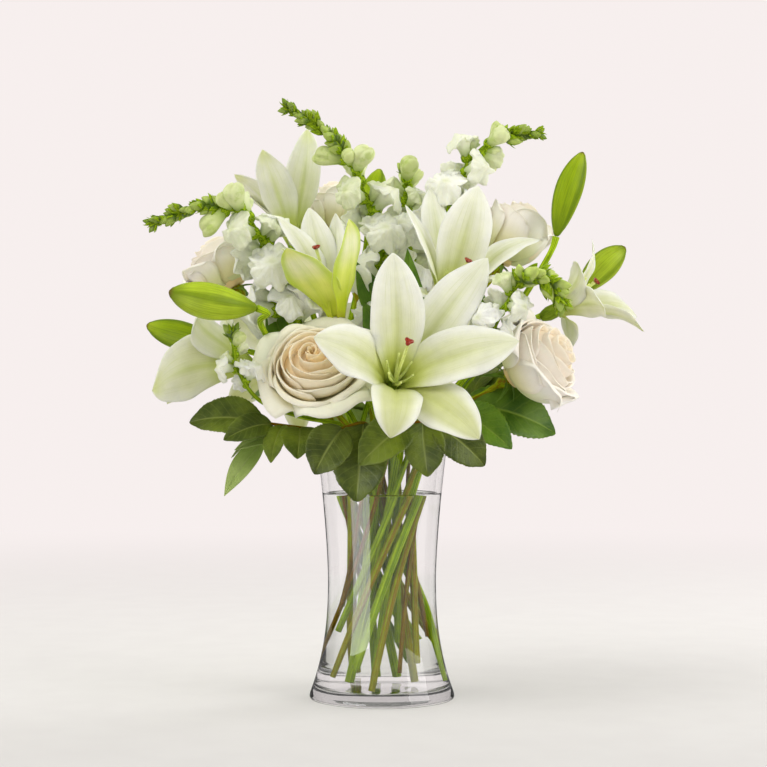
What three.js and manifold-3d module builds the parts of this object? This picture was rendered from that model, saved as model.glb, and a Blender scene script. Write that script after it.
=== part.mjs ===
// A mixed bunch of white lilies in a flared glass vase of water: five lily stems with seven open
// flowers and five buds, six white roses, six snapdragon spikes, lemon leaf and ruscus.
// Millimetres, +Z up, the front of the bunch faces -Y. The origin is the middle of the vase's foot.
import * as THREE from "three";
import { mergeVertices } from "three/addons/utils/BufferGeometryUtils.js";
import Module from "manifold-3d";

const wasm = await Module();
wasm.setup();

// Driving dimensions of the vase and its water.
const VASE_HEIGHT = 203;
const RIM_RADIUS = 51.5;
const WAIST_RADIUS = 42;
const WAIST_HEIGHT = 92;
const FOOT_RADIUS = 57.5;
const GLASS_WALL = 3.2;
const GLASS_FLOOR = 8;
const WATER_LEVEL = 158;
const VASE_SIDES = 24;

// Clearance between pieces that touch, and the thickness of petals and leaves.
const GAP = 0.35;
const PETAL_THICKNESS = 1.5;
const LEAF_THICKNESS = 1.3;

// What a join leaves that is thinner than this is dropped.
const SLIVER = 0.03;

// The stems cross the vase on two nested rings, all leaning the same way, so that none meets another.
const TWIST = 128;
const NECK_HEIGHT = 206;
const RINGS = {
  outer: { foot: 43, neck: 38.5 },
  inner: { foot: 21, neck: 18 },
};

// Colours read from the object.
const finish = (color, roughness, extra = {}) =>
  new THREE.MeshStandardMaterial({ color, roughness, metalness: 0, side: THREE.DoubleSide, ...extra });
const GLASS = finish("#dfe9e6", 0.05, { transparent: true, opacity: 0.3 });
const WATER = finish("#eaf2f0", 0.02, { transparent: true, opacity: 0.25 });
const LILY_WHITE = finish("#eef0e2", 0.55);
const LILY_HEART = finish("#b9c46a", 0.5);
const STIGMA_RED = finish("#8c2f22", 0.5);
const BUD_GREEN = finish("#9ab23a", 0.5);
const STEM_GREEN = finish("#7c9a3c", 0.55);
const ROSE_CREAM = finish("#f1e8d6", 0.6);
const ROSE_GREEN = finish("#4c6b2c", 0.55);
const SPIKE_PALE = finish("#cfdca8", 0.55);
const SALAL_GREEN = finish("#3f5a22", 0.45);
const RUSCUS_GREEN = finish("#8ba05c", 0.5);

const point = (a) => new THREE.Vector3(...a);
const radians = THREE.MathUtils.degToRad;

// A repeatable number from 0 to 1 for a piece and one of its features.
function chance(piece, feature = 0) {
  const value = Math.sin(piece * 12.9898 + feature * 78.233) * 43758.5453;
  return value - Math.floor(value);
}

// Closed solids.

function solidFromGeometry(geometry) {
  const bare = geometry.index ? geometry.toNonIndexed() : geometry.clone();
  bare.deleteAttribute("normal");
  bare.deleteAttribute("uv");
  const merged = mergeVertices(bare, 1e-3);
  const kept = [];
  const index = merged.index.array;
  for (let i = 0; i < index.length; i += 3) {
    const [a, b, c] = [index[i], index[i + 1], index[i + 2]];
    if (a !== b && b !== c && c !== a) kept.push(a, b, c);
  }
  const made = new wasm.Manifold(
    new wasm.Mesh({
      numProp: 3,
      vertProperties: new Float32Array(merged.attributes.position.array),
      triVerts: new Uint32Array(kept),
    }),
  );
  if (made.volume() < 0) throw new Error("a solid faces inwards");
  return made;
}

function geometryFromTriangles(corners) {
  const positions = new Float32Array(corners.flatMap((p) => [p.x, p.y, p.z]));
  return new THREE.BufferGeometry().setAttribute("position", new THREE.BufferAttribute(positions, 3));
}

// Rings of points joined in order, with each end closed by a fan. A one-point ring is a tip, and a
// ring may have twice the points of the ring before it.
function loft(rings) {
  const corners = [];
  for (let i = 0; i + 1 < rings.length; i++) {
    const [low, high] = [rings[i], rings[i + 1]];
    const sides = Math.max(low.length, high.length);
    const at = (ring, k) => ring[k % ring.length];
    if (low.length > 1 && high.length === 2 * low.length) {
      for (let k = 0; k < low.length; k++) {
        const [a, b] = [at(low, k), at(low, k + 1)];
        const [c, d, e] = [at(high, 2 * k), at(high, 2 * k + 1), at(high, 2 * k + 2)];
        corners.push(a, b, d, a, d, c, b, e, d);
      }
      continue;
    }
    for (let k = 0; k < sides; k++) {
      const [a, b, c, d] = [at(low, k), at(low, k + 1), at(high, k + 1), at(high, k)];
      if (low.length > 1) corners.push(a, b, c);
      if (high.length > 1) corners.push(a, c, d);
    }
  }
  const cap = (ring, forward) => {
    for (let k = 1; k + 1 < ring.length; k++)
      corners.push(ring[0], ...(forward ? [ring[k], ring[k + 1]] : [ring[k + 1], ring[k]]));
  };
  cap(rings[0], false);
  cap(rings[rings.length - 1], true);
  return solidFromGeometry(geometryFromTriangles(corners));
}

// A ring of points round a centre, square to an axis.
function ringAt(centre, axis, side, radius, sides, lobes = 0) {
  const up = new THREE.Vector3().crossVectors(axis, side);
  return Array.from({ length: sides }, (_, k) => {
    const turn = (2 * Math.PI * k) / sides;
    const reach = radius * (1 + lobes * Math.cos(3 * turn));
    return centre
      .clone()
      .addScaledVector(side, reach * Math.cos(turn))
      .addScaledVector(up, reach * Math.sin(turn));
  });
}

// A round stem along a list of points, tapering from one radius to the other.
function stemAlong(path, startRadius, endRadius, sides = 6) {
  const along = path.map((p, i) => {
    const before = path[Math.max(0, i - 1)];
    const after = path[Math.min(path.length - 1, i + 1)];
    return after.clone().sub(before).normalize();
  });
  let side = new THREE.Vector3(1, 0, 0);
  const rings = path.map((p, i) => {
    side = side.clone().addScaledVector(along[i], -side.dot(along[i])).normalize();
    const share = i / (path.length - 1);
    return ringAt(p, along[i], side, startRadius + (endRadius - startRadius) * share, sides);
  });
  return loft(rings);
}

// A thin blade with sharp edges: at(u, v) gives its middle surface, u from root to tip, v from -1 to 1.
// Both faces are split into the same triangles.
function blade(rows, columns, thickness, at) {
  const step = 1e-3;
  const grid = [];
  for (let i = 0; i <= rows; i++) {
    const line = [];
    for (let j = 0; j <= columns; j++) {
      const u = i / rows;
      const v = (2 * j) / columns - 1;
      const p = at(u, v);
      const onEdge = i === 0 || i === rows || j === 0 || j === columns;
      if (onEdge) {
        line.push([p, p]);
        continue;
      }
      const du = at(u + step, v).sub(at(u - step, v));
      const dv = at(u, v + step).sub(at(u, v - step));
      const normal = new THREE.Vector3().crossVectors(du, dv).normalize();
      const half = thickness / 2;
      line.push([p.clone().addScaledVector(normal, half), p.clone().addScaledVector(normal, -half)]);
    }
    grid.push(line);
  }
  const corners = [];
  for (let i = 0; i < rows; i++)
    for (let j = 0; j < columns; j++) {
      const [a, b, c, d] = [grid[i][j], grid[i + 1][j], grid[i + 1][j + 1], grid[i][j + 1]];
      corners.push(a[0], b[0], c[0], a[0], c[0], d[0]);
      corners.push(a[1], c[1], b[1], a[1], d[1], c[1]);
    }
  return solidFromGeometry(geometryFromTriangles(corners));
}

// Everything that belongs to one piece, joined. A part of it that hangs loose is a mistake.
function joined(solids) {
  const bodies = wasm.Manifold.union(solids).simplify(SLIVER).decompose();
  const sizes = bodies.map((b) => b.volume()).sort((a, b) => b - a);
  if (sizes[1] > 0.5) throw new Error(`a piece has loose parts of ${sizes.slice(1).map(Math.round)} mm3`);
  return bodies.reduce((a, b) => (b.volume() > a.volume() ? b : a));
}

const object = new THREE.Group();

function addPiece(name, solid, material, parent = object) {
  const m = solid.getMesh();
  const positions = new Float32Array(m.numVert * 3);
  for (let i = 0; i < m.numVert; i++)
    positions.set(m.vertProperties.subarray(i * m.numProp, i * m.numProp + 3), i * 3);
  const geometry = new THREE.BufferGeometry()
    .setAttribute("position", new THREE.BufferAttribute(positions, 3))
    .setIndex(new THREE.BufferAttribute(new Uint32Array(m.triVerts), 1));
  geometry.computeVertexNormals();
  const made = new THREE.Mesh(geometry, material);
  made.name = name;
  parent.add(made);
}

// A group that stands at a base point and points along an axis, for the pieces of one flower head.
function headGroup({ base, axis, turn = 0 }) {
  const head = new THREE.Group();
  head.position.set(...base);
  head.quaternion.setFromUnitVectors(new THREE.Vector3(0, 0, 1), point(axis).normalize());
  head.rotateZ(radians(turn));
  head.updateMatrixWorld(true);
  object.add(head);
  return head;
}

// The vase: a waisted glass cylinder on a wide foot.

function outerRadius(z) {
  const above = Math.max(0, z - WAIST_HEIGHT) / (VASE_HEIGHT - WAIST_HEIGHT);
  const below = Math.max(0, WAIST_HEIGHT - z) / WAIST_HEIGHT;
  return (
    WAIST_RADIUS + (RIM_RADIUS - WAIST_RADIUS) * above ** 1.5 + (FOOT_RADIUS - WAIST_RADIUS) * below ** 2.4
  );
}

const innerRadius = (z) => outerRadius(z) - GLASS_WALL;
const WALL_HEIGHTS = [5, 19, 38, 66, 104, 152];

function latheSolid(outline, sides) {
  const profile = outline.map(([r, z]) => new THREE.Vector2(r, z));
  return solidFromGeometry(new THREE.LatheGeometry(profile, sides).rotateX(Math.PI / 2));
}

function makeVase() {
  const outside = WALL_HEIGHTS.map((z) => [outerRadius(z), z]);
  const lip = [
    [RIM_RADIUS, VASE_HEIGHT - 1],
    [RIM_RADIUS - GLASS_WALL / 2, VASE_HEIGHT],
    [RIM_RADIUS - GLASS_WALL, VASE_HEIGHT - 1],
  ];
  const inside = WALL_HEIGHTS.filter((z) => z > 2 * GLASS_FLOOR).map((z) => [innerRadius(z), z]);
  const floor = [
    [innerRadius(11), 11],
    [innerRadius(11) - 3, GLASS_FLOOR],
    [0, GLASS_FLOOR],
  ];
  const outline = [[0, 0], [FOOT_RADIUS - 3, 0], ...outside, ...lip, ...inside.reverse(), ...floor];
  return latheSolid(outline, VASE_SIDES);
}

function makeWater(stemHoles) {
  const heights = WALL_HEIGHTS.filter((z) => z > 2 * GLASS_FLOOR && z < WATER_LEVEL);
  const wall = heights.map((z) => [innerRadius(z) - GAP, z]);
  const outline = [
    [0, GLASS_FLOOR + GAP],
    [innerRadius(11) - 3 - GAP, GLASS_FLOOR + GAP],
    [innerRadius(11) - GAP, 11 + GAP],
    ...wall,
    [innerRadius(WATER_LEVEL) - GAP, WATER_LEVEL],
    [0, WATER_LEVEL],
  ];
  return latheSolid(outline, VASE_SIDES).subtract(wasm.Manifold.union(stemHoles)).simplify(SLIVER);
}

// Stems. Each has a turn round the vase's axis, in degrees, where it leaves the vase.

const stemHoles = [];

function ringPoint(radius, degrees, z) {
  const turn = radians(degrees);
  return new THREE.Vector3(radius * Math.cos(turn), radius * Math.sin(turn), z);
}

// The straight run through the water, and the curve from the vase's mouth through the given points.
function stemPath({ ring, turn, footHeight = GLASS_FLOOR + 3, via }, finalDirection) {
  const floorPoint = ringPoint(RINGS[ring].foot, turn - TWIST, GLASS_FLOOR + 3);
  const neck = ringPoint(RINGS[ring].neck, turn, NECK_HEIGHT);
  const up = neck.clone().sub(floorPoint).normalize();
  const foot = floorPoint.clone().addScaledVector(up, (footHeight - floorPoint.z) / up.z);
  const stops = via.map(point);
  const last = stops[stops.length - 1];
  const lead = neck.clone().addScaledVector(up, -14);
  const leave = finalDirection ? [last.clone().addScaledVector(finalDirection, -9)] : [];
  const curve = new THREE.CatmullRomCurve3([
    lead,
    neck,
    ...stops.slice(0, -1),
    ...leave,
    last,
  ]);
  const bends = curve.getSpacedPoints(2 + Math.round(1.5 * stops.length)).slice(1);
  return { foot, up, lead, path: [foot, lead, ...bends] };
}

function vaseStem(plan, radius, endRadius, { finalDirection, sides = 5 } = {}) {
  const { foot, up, lead, path } = stemPath(plan, finalDirection);
  const hole = [foot.clone().addScaledVector(up, -GAP), lead];
  stemHoles.push(stemAlong(hole, radius + 1.5 * GAP, radius + 1.5 * GAP, sides));
  return { body: stemAlong(path, radius, endRadius, sides), path };
}

// Leaves. A leaf runs from its root to its tip and arches towards the side that it faces.

const BROAD = (u) => Math.sin(Math.PI * Math.min(1, u) ** 0.85) ** 0.55;
const LANCE = (u) => Math.sin(Math.PI * Math.min(1, u) ** 0.85) ** 0.9;

function leaf({ root, tip, width, face = [0, -0.5, 1], arch = 0.12, fold = 0.25, shape = BROAD, teeth = 0 }) {
  const [start, end] = [point(root), point(tip)];
  const run = end.clone().sub(start);
  const side = new THREE.Vector3().crossVectors(run, point(face)).normalize();
  const normal = new THREE.Vector3().crossVectors(side, run).normalize();
  const rows = teeth ? 6 : 4;
  const at = (u, v) => {
    const tooth = teeth * (Math.round(u * rows) % 2 === 0 ? -1 : 1) * (u > 0.2 && u < 0.9 ? 1 : 0);
    const half = u <= 0 || u >= 1 ? 0 : (shape(u) * width * (1 + tooth)) / 2;
    return start
      .clone()
      .addScaledVector(run, u)
      .addScaledVector(normal, run.length() * arch * 4 * u * (1 - u) + fold * Math.abs(v) * half)
      .addScaledVector(side, v * half);
  };
  return blade(rows, 2, LEAF_THICKNESS, at);
}

// The leaves of a stem, each root moved to the nearest point of the stem's middle line.
function leavesOn(path, leaves) {
  return leaves.map((plan) => {
    const wanted = point(plan.root);
    const candidates = path.slice(1).map((end, i) => {
      const near = new THREE.Line3(path[i], end).closestPointToPoint(wanted, true, new THREE.Vector3());
      return { near, distance: near.distanceTo(wanted) };
    });
    const { near } = candidates.reduce((a, b) => (b.distance < a.distance ? b : a));
    return leaf({ ...plan, root: near.toArray() });
  });
}

// Lilies. Each flower is made upright in its own frame. A tepal leaves the flower's base along its
// axis and curls outwards to its tip. Three inner tepals stand between three outer ones.

function tepalWidth(u) {
  const widest = 0.55;
  if (u < widest) {
    const share = u / widest;
    return 0.24 + 0.76 * share * share * (3 - 2 * share);
  }
  const beyond = (u - widest) / (1 - widest);
  return beyond >= 1 ? 0 : (1 - beyond ** 2.3) ** 0.8;
}

function tepal({ tip, width, curl = 95, cup = 0.3, ruffle = 1.5, roll = 0, rows = 5 }, number) {
  const axis = new THREE.Vector3(0, 0, 1);
  const outward = new THREE.Vector3(tip.x, tip.y, 0).normalize();
  const length = tip.length();
  const turn = radians(curl);
  const isInner = number % 2 === 0;
  const rootRadius = isInner ? 1.5 : 3;
  const flare = isInner ? 0.1 : 0.16;
  const ending = axis.clone().multiplyScalar(Math.cos(turn)).addScaledVector(outward, Math.sin(turn));
  const curve = new THREE.CubicBezierCurve3(
    new THREE.Vector3(0, 0, 4).addScaledVector(outward, rootRadius),
    new THREE.Vector3(0, 0, 0.42 * length).addScaledVector(outward, flare * length),
    tip.clone().addScaledVector(ending, -0.35 * length),
    tip,
  );
  const side = new THREE.Vector3().crossVectors(axis, outward);
  side.applyAxisAngle(tip.clone().normalize(), radians(roll));
  const at = (u, v) => {
    const t = Math.min(1, Math.max(0, u));
    const back = new THREE.Vector3().crossVectors(side, curve.getTangent(t));
    const half = (tepalWidth(t) * width) / 2;
    const hollow = cup * (1 - t) * 1.6 - 0.12 * t;
    const wave = ruffle * Math.sin(9 * t + 2.1 * number) * Math.abs(v) ** 3 * Math.sin(Math.PI * t);
    return curve
      .getPoint(t)
      .addScaledVector(side, v * half)
      .addScaledVector(back, -(hollow * half * v * v + wave));
  };
  return blade(rows, 2, PETAL_THICKNESS, at);
}

// Turns a shape built upright at the origin onto a base point and an axis.
function placed(solid, base, axis) {
  const turn = new THREE.Quaternion().setFromUnitVectors(new THREE.Vector3(0, 0, 1), axis);
  return solid.transform(new THREE.Matrix4().compose(base, turn, new THREE.Vector3(1, 1, 1)).elements);
}

function lilyTepals(tepals) {
  const cup = latheSolid([[0, -3], [3, -3], [6, 7], [5, 14], [0, 14]], 6);
  return joined([cup, ...tepals.map(tepal)]);
}

// The middle line of a lily's style, from the bottom of the flower to the stigma.
function styleLine(styleEnd) {
  const start = new THREE.Vector3(0, 0, 14.6);
  const bend = start.clone().lerp(styleEnd, 0.5);
  bend.z += 3;
  return [start, bend, styleEnd];
}

// The style of one lily with its six filaments, which leave it one above another near its foot.
function lilyHeart(styleEnd) {
  const [start, bend, end] = styleLine(styleEnd);
  const style = stemAlong([start, bend, end], 1.8, 1.4, 4);
  const along = bend.clone().sub(start).normalize();
  const side = new THREE.Vector3(1, 0.2, 0.1).cross(along).normalize();
  const filaments = ringAt(new THREE.Vector3(), along, side, 1, 6).map((outward, i) => {
    const root = start.clone().add(new THREE.Vector3(0, 0, 1.2 + 0.5 * i));
    const tip = root.clone().addScaledVector(along, 25 + 5 * chance(i, 3)).addScaledVector(outward, 5.5);
    return loft([ringAt(root, along, side, 0.9, 3), [tip]]);
  });
  return joined([style, ...filaments]);
}

function lilyStigma(styleEnd) {
  const [, bend, end] = styleLine(styleEnd);
  const along = end.clone().sub(bend).normalize();
  const side = new THREE.Vector3(1, 0, 0).cross(along).normalize();
  const low = end.clone().addScaledVector(along, GAP);
  return loft([
    ringAt(low, along, side, 1.3, 6),
    ringAt(low.clone().addScaledVector(along, 1.7), along, side, 3, 6, 0.3),
    ringAt(low.clone().addScaledVector(along, 3.2), along, side, 1.7, 6, 0.25),
  ]);
}

function addLily(name, flower) {
  const head = headGroup(flower);
  const own = (place) => head.worldToLocal(point(place));
  const tepals = flower.tepals.map((plan) => ({ ...plan, tip: own(plan.tip) }));
  const styleEnd = own(flower.styleEnd);
  addPiece(`lily_${name}_tepals`, lilyTepals(tepals), LILY_WHITE, head);
  addPiece(`lily_${name}_heart`, lilyHeart(styleEnd), LILY_HEART, head);
  addPiece(`lily_${name}_stigma`, lilyStigma(styleEnd), STIGMA_RED, head);
}

const BUD_OUTLINE = [[0, 0.2], [0.3, 0.84], [0.58, 1], [0.85, 0.7], [1, 0.14]];

function lilyBud({ base, tip, radius }) {
  const [start, end] = [point(base), point(tip)];
  const axis = end.clone().sub(start).normalize();
  const side = new THREE.Vector3(0.2, 1, 0.1).cross(axis).normalize();
  const rings = BUD_OUTLINE.map(([u, share]) =>
    ringAt(start.clone().lerp(end, u), axis, side, radius * share, 6, 0.06),
  );
  return loft(rings);
}

// The green of one lily stem: its stalk, a stalk to each flower and bud, and its leaves.
function lilyStem({ stem, radius, stalks, leaves = [] }) {
  const { body, path } = vaseStem(stem, radius, radius * 0.9);
  const branches = stalks.map(({ to, direction, bud, via = [] }) => {
    const towards = point(direction).normalize();
    const setBack = bud ? 2 * GAP : 3 + GAP;
    const end = point(to).addScaledVector(towards, -setBack);
    const before = end.clone().addScaledVector(towards, -10);
    const start = path[path.length - 1];
    const curve = new THREE.CatmullRomCurve3([start, ...via.map(point), before, end]);
    return stemAlong(curve.getPoints(3 + via.length), 2.8, 2.4, 4);
  });
  return joined([body, ...branches, ...leavesOn(path, leaves)]);
}

// Roses. Petals stand in rings round a small core, each ring lower and more open than the one inside.

function roseLayers(radius, height, open) {
  const rim = 0.7 + 0.3 * open;
  const top = 0.92 - 0.42 * open;
  const middleTop = 0.96 - 0.14 * open;
  return [
    { petals: 5, rows: 3, root: 7.5, rootHeight: 3, belly: 0.66, rim, top, spread: 0.72, phase: 0 },
    { petals: 4, rows: 3, root: 6, rootHeight: 5, belly: 0.55, rim: 0.74 * rim, top: middleTop, spread: 0.85, phase: 30 },
    { petals: 3, rows: 2, root: 4.5, rootHeight: 7, belly: 0.4, rim: 0.44, top: 1.02, spread: 1.1, phase: 10 },
  ].map((layer) => ({ ...layer, radius, height }));
}

function rosePetal(layer, number) {
  const { radius, height, root, rootHeight, belly, rim, top, spread, phase, petals } = layer;
  const centre = radians(phase + (360 * number) / petals + 8 * (chance(number, phase) - 0.5));
  const curve = new THREE.CubicBezierCurve(
    new THREE.Vector2(root, rootHeight),
    new THREE.Vector2(belly * radius * 1.1, rootHeight + 0.05 * height),
    new THREE.Vector2(belly * radius, 0.72 * top * height),
    new THREE.Vector2(rim * radius, top * height),
  );
  const at = (u, v) => {
    const t = Math.min(1, Math.max(0, u));
    const profile = curve.getPoint(t);
    const reach = profile.x * (1 + 0.1 * v);
    const fullness = 0.55 + 0.45 * Math.sin(Math.PI * Math.min(0.5, 0.8 * t)) - 0.22 * t ** 5;
    const turn = centre + v * spread * fullness;
    const drop = 0.22 * height * t * t * v * v;
    return new THREE.Vector3(reach * Math.cos(turn), reach * Math.sin(turn), profile.y - drop);
  };
  return blade(layer.rows, 2, PETAL_THICKNESS, at);
}

function roseBloom({ radius, height, open }) {
  const core = latheSolid(
    [[0, GAP], [9.5, GAP], [0.3 * radius, 0.4 * height], [0.14 * radius, 0.85 * height], [0, 0.85 * height]],
    6,
  );
  const petals = roseLayers(radius, height, open).flatMap((layer) =>
    Array.from({ length: layer.petals }, (_, i) => rosePetal(layer, i)),
  );
  return joined([core, ...petals]);
}

// The hip under a rose with its five sepals, bent back, and the stem with its leaves.
function roseStem({ stem, base, axis, leaves = [] }) {
  const direction = point(axis).normalize();
  const turns = Array.from({ length: 10 }, (_, k) => (Math.PI * k) / 5);
  const ring = (radius, z) => turns.map((t) => new THREE.Vector3(radius * Math.cos(t), radius * Math.sin(t), z));
  const sepals = turns.map((t, k) => {
    const reach = k % 2 === 0 ? 20 : 5;
    const drop = k % 2 === 0 ? -9 - 5 * chance(k, 1) : -2.2;
    return new THREE.Vector3(reach * Math.cos(t), reach * Math.sin(t), drop);
  });
  const bottom = new THREE.Vector3(0, 0, -13);
  const hip = loft([[bottom], ring(4.6, -7.5), sepals, [new THREE.Vector3()]]);
  const head = placed(hip, point(base), direction);
  const { body, path } = vaseStem(stem, 2.5, 2.2, { finalDirection: direction });
  return joined([body, head, ...leavesOn(path, leaves.map((plan) => ({ teeth: 0.09, ...plan })))]);
}

// Snapdragons. A spike carries closed buds towards its tip and two-lipped florets lower down.

// A young floret is a narrow bell, an old one has its lips spread.
function floret(size, age) {
  const ring = (sides, radius, z) =>
    Array.from({ length: sides }, (_, k) => {
      const t = (2 * Math.PI * k) / sides;
      return new THREE.Vector3(radius * Math.cos(t), radius * Math.sin(t), z).multiplyScalar(size);
    });
  const rim = ring(10, 1, 0).map((p, k) => {
    const lobe = k % 2 === 0 ? 1 : 0.72;
    const across = (p.y / size) ** 2;
    const rise = 0.94 - 0.1 * (1 - lobe) - 0.14 * across + 0.05 * chance(k, size);
    const spread = (0.66 + 0.34 * age) * (0.46 + 0.08 * across);
    return p.multiplyScalar(lobe * spread).setZ(rise * size);
  });
  return loft([[new THREE.Vector3()], ring(5, 0.22, 0.5), rim, [new THREE.Vector3(0, 0, 0.62 * size)]]);
}

function closedBud(length, radius) {
  const up = new THREE.Vector3(0, 0, 1);
  const side = new THREE.Vector3(1, 0, 0);
  const belly = ringAt(new THREE.Vector3(0, 0, 0.5 * length), up, side, radius, 5);
  return loft([[new THREE.Vector3()], belly, [new THREE.Vector3(0, 0, length)]]);
}

function snapdragon({ stem, spike, buds, florets, size = 35, leaves = [] }) {
  const tipFirst = point(stem.via[stem.via.length - 1]);
  const { body, path } = vaseStem(stem, 2.4, 1.3, { sides: 4 });
  const curve = new THREE.CurvePath();
  path.slice(2).forEach((end, i) => curve.add(new THREE.LineCurve3(path[i + 1], end)));
  const length = curve.getLength();
  const pieces = Array.from({ length: buds + florets }, (_, i) => {
    const share = i / (buds + florets - 1);
    const fromTip = 3 + (spike - 3) * share ** 1.5;
    const along = Math.max(0, 1 - fromTip / length);
    const [centre, tangent] = [curve.getPoint(along), curve.getTangent(along)];
    const side = new THREE.Vector3(0, 1, 0.02).cross(tangent).normalize();
    const across = new THREE.Vector3().crossVectors(tangent, side);
    const turn = radians(137.5 * i + 40 * chance(i, spike));
    const outward = side.multiplyScalar(Math.cos(turn)).addScaledVector(across, Math.sin(turn));
    const isBud = i < buds;
    const grown = i / buds;
    const age = (i - buds) / florets;
    const lean = isBud ? 1.4 - 0.5 * grown : 0.9 - 0.5 * age;
    const axis = outward.clone().addScaledVector(tangent, lean).normalize();
    const shape = isBud ? closedBud(8 + 8 * grown, 2.6 + 3 * grown) : floret(size * (0.8 + 0.25 * age), age);
    return placed(shape.rotate([0, 0, 30]), centre, axis);
  });
  if (tipFirst.distanceTo(path[path.length - 1]) > 1) throw new Error("the spike misses its tip");
  return joined([body, ...pieces, ...leavesOn(path, leaves)]);
}

// A leafy branch of lemon leaf or ruscus.
function branch({ stem, leaves, radius = 1.6 }) {
  const { body, path } = vaseStem(stem, radius, radius * 0.7, { sides: 4 });
  return joined([body, ...leavesOn(path, leaves)]);
}

// The flowers of the bunch, each where it stands in the vase.

const LILIES = {
  front: {
    base: [7, -43, 237],
    axis: [0.15, -0.9, 0.38],
    styleEnd: [19, -112, 272],
    tepals: [
      { tip: [8, -85, 339], width: 41, curl: 80 },
      { tip: [79, -60, 337], width: 38, curl: 75 },
      { tip: [100, -92, 274], width: 42, curl: 85 },
      { tip: [70, -113, 203], width: 42, curl: 95, ruffle: 3 },
      { tip: [6, -124, 204], width: 38, curl: 120 },
      { tip: [-49, -108, 276], width: 42, curl: 95, ruffle: 3 },
    ],
  },
  centre: {
    base: [45, -10, 288],
    axis: [0.25, -0.3, 0.92],
    styleEnd: [65, -30, 336],
    tepals: [
      { tip: [18, -22, 381], width: 28, curl: 50 },
      { tip: [38, 14, 398], width: 32, curl: 45 },
      { tip: [74, -20, 396], width: 40, curl: 40 },
      { tip: [123, 0, 356], width: 30, curl: 85, rows: 4 },
      { tip: [103, -44, 316], width: 26, curl: 115, rows: 4 },
      { tip: [14, -45, 316], width: 26, curl: 90, rows: 4 },
    ],
  },
  half_open: {
    base: [-31, -8, 282],
    axis: [-0.27, -0.25, 0.92],
    styleEnd: [-50, -30, 346],
    tepals: [
      { tip: [-71, -58, 345], width: 42, curl: 30, rows: 4 },
      { tip: [-25, -54, 367], width: 34, curl: 10, rows: 4 },
      { tip: [-36, -8, 376], width: 26, curl: 25, rows: 4 },
      { tip: [-57, -1, 381], width: 28, curl: 40, rows: 4 },
      { tip: [-80, -19, 371], width: 28, curl: 45, rows: 4 },
      { tip: [-76, -40, 346], width: 26, curl: 50, rows: 4 },
    ],
  },
  left: {
    base: [-93, -5, 254],
    axis: [-0.9, -0.12, 0.4],
    styleEnd: [-140, -12, 276],
    tepals: [
      { tip: [-172, -56, 238], width: 50, curl: 75, roll: 40 },
      { tip: [-137, -54, 296], width: 30, curl: 105, rows: 4 },
      { tip: [-135, -10, 314], width: 28, curl: 105, rows: 4 },
      { tip: [-120, 32, 313], width: 28, curl: 100, rows: 4 },
      { tip: [-150, 56, 246], width: 34, curl: 90, rows: 4 },
      { tip: [-168, 3, 228], width: 34, curl: 85, roll: 35, rows: 4 },
    ],
  },
  right: {
    base: [127, 10, 297],
    axis: [0.86, -0.05, 0.42],
    styleEnd: [166, 3, 323],
    tepals: [
      { tip: [166, 18, 358], width: 32, curl: 80, rows: 4 },
      { tip: [204, 38, 298], width: 34, curl: 80, rows: 4 },
      { tip: [152, 62, 278], width: 30, curl: 95, rows: 4 },
      { tip: [203, -10, 284], width: 30, curl: 80, rows: 4 },
      { tip: [168, -42, 301], width: 28, curl: 95, rows: 4 },
      { tip: [150, -30, 335], width: 28, curl: 95, rows: 4 },
    ],
  },
  back_left: {
    base: [-69, 48, 347],
    axis: [-0.15, 0.25, 0.92],
    styleEnd: [-84, 70, 404],
    tepals: [
      { tip: [-60, 40, 449], width: 34, curl: 15, rows: 4 },
      { tip: [-95, 24, 430], width: 30, curl: 40, rows: 4 },
      { tip: [-119, 46, 413], width: 34, curl: 60, rows: 4 },
      { tip: [-124, 82, 398], width: 32, curl: 80, rows: 4 },
      { tip: [-97, 104, 412], width: 30, curl: 70, rows: 4 },
      { tip: [-62, 74, 430], width: 28, curl: 30, rows: 4 },
    ],
  },
  back: {
    base: [-58, 78, 262],
    axis: [-0.4, 0.85, 0.3],
    styleEnd: [-86, 132, 288],
    tepals: [
      { tip: [-70, 128, 340], width: 34, curl: 90 },
      { tip: [-10, 138, 312], width: 32, curl: 90 },
      { tip: [-18, 150, 252], width: 34, curl: 90 },
      { tip: [-70, 140, 202], width: 32, curl: 95 },
      { tip: [-130, 112, 226], width: 34, curl: 90 },
      { tip: [-132, 104, 302], width: 32, curl: 90 },
    ],
  },
};

const LILY_BUDS = {
  left_upper: { base: [-94, -56, 300], tip: [-157, -76, 311], radius: 14 },
  left_lower: { base: [-130, 38, 277], tip: [-188, 34, 291], radius: 12 },
  right_upper: { base: [137, 10, 360], tip: [158, 10, 426], radius: 11 },
  right_lower: { base: [160, 52, 318], tip: [197, 54, 355], radius: 12 },
  back_upper: { base: [-12, 112, 372], tip: [-2, 146, 430], radius: 11.5 },
};

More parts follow.
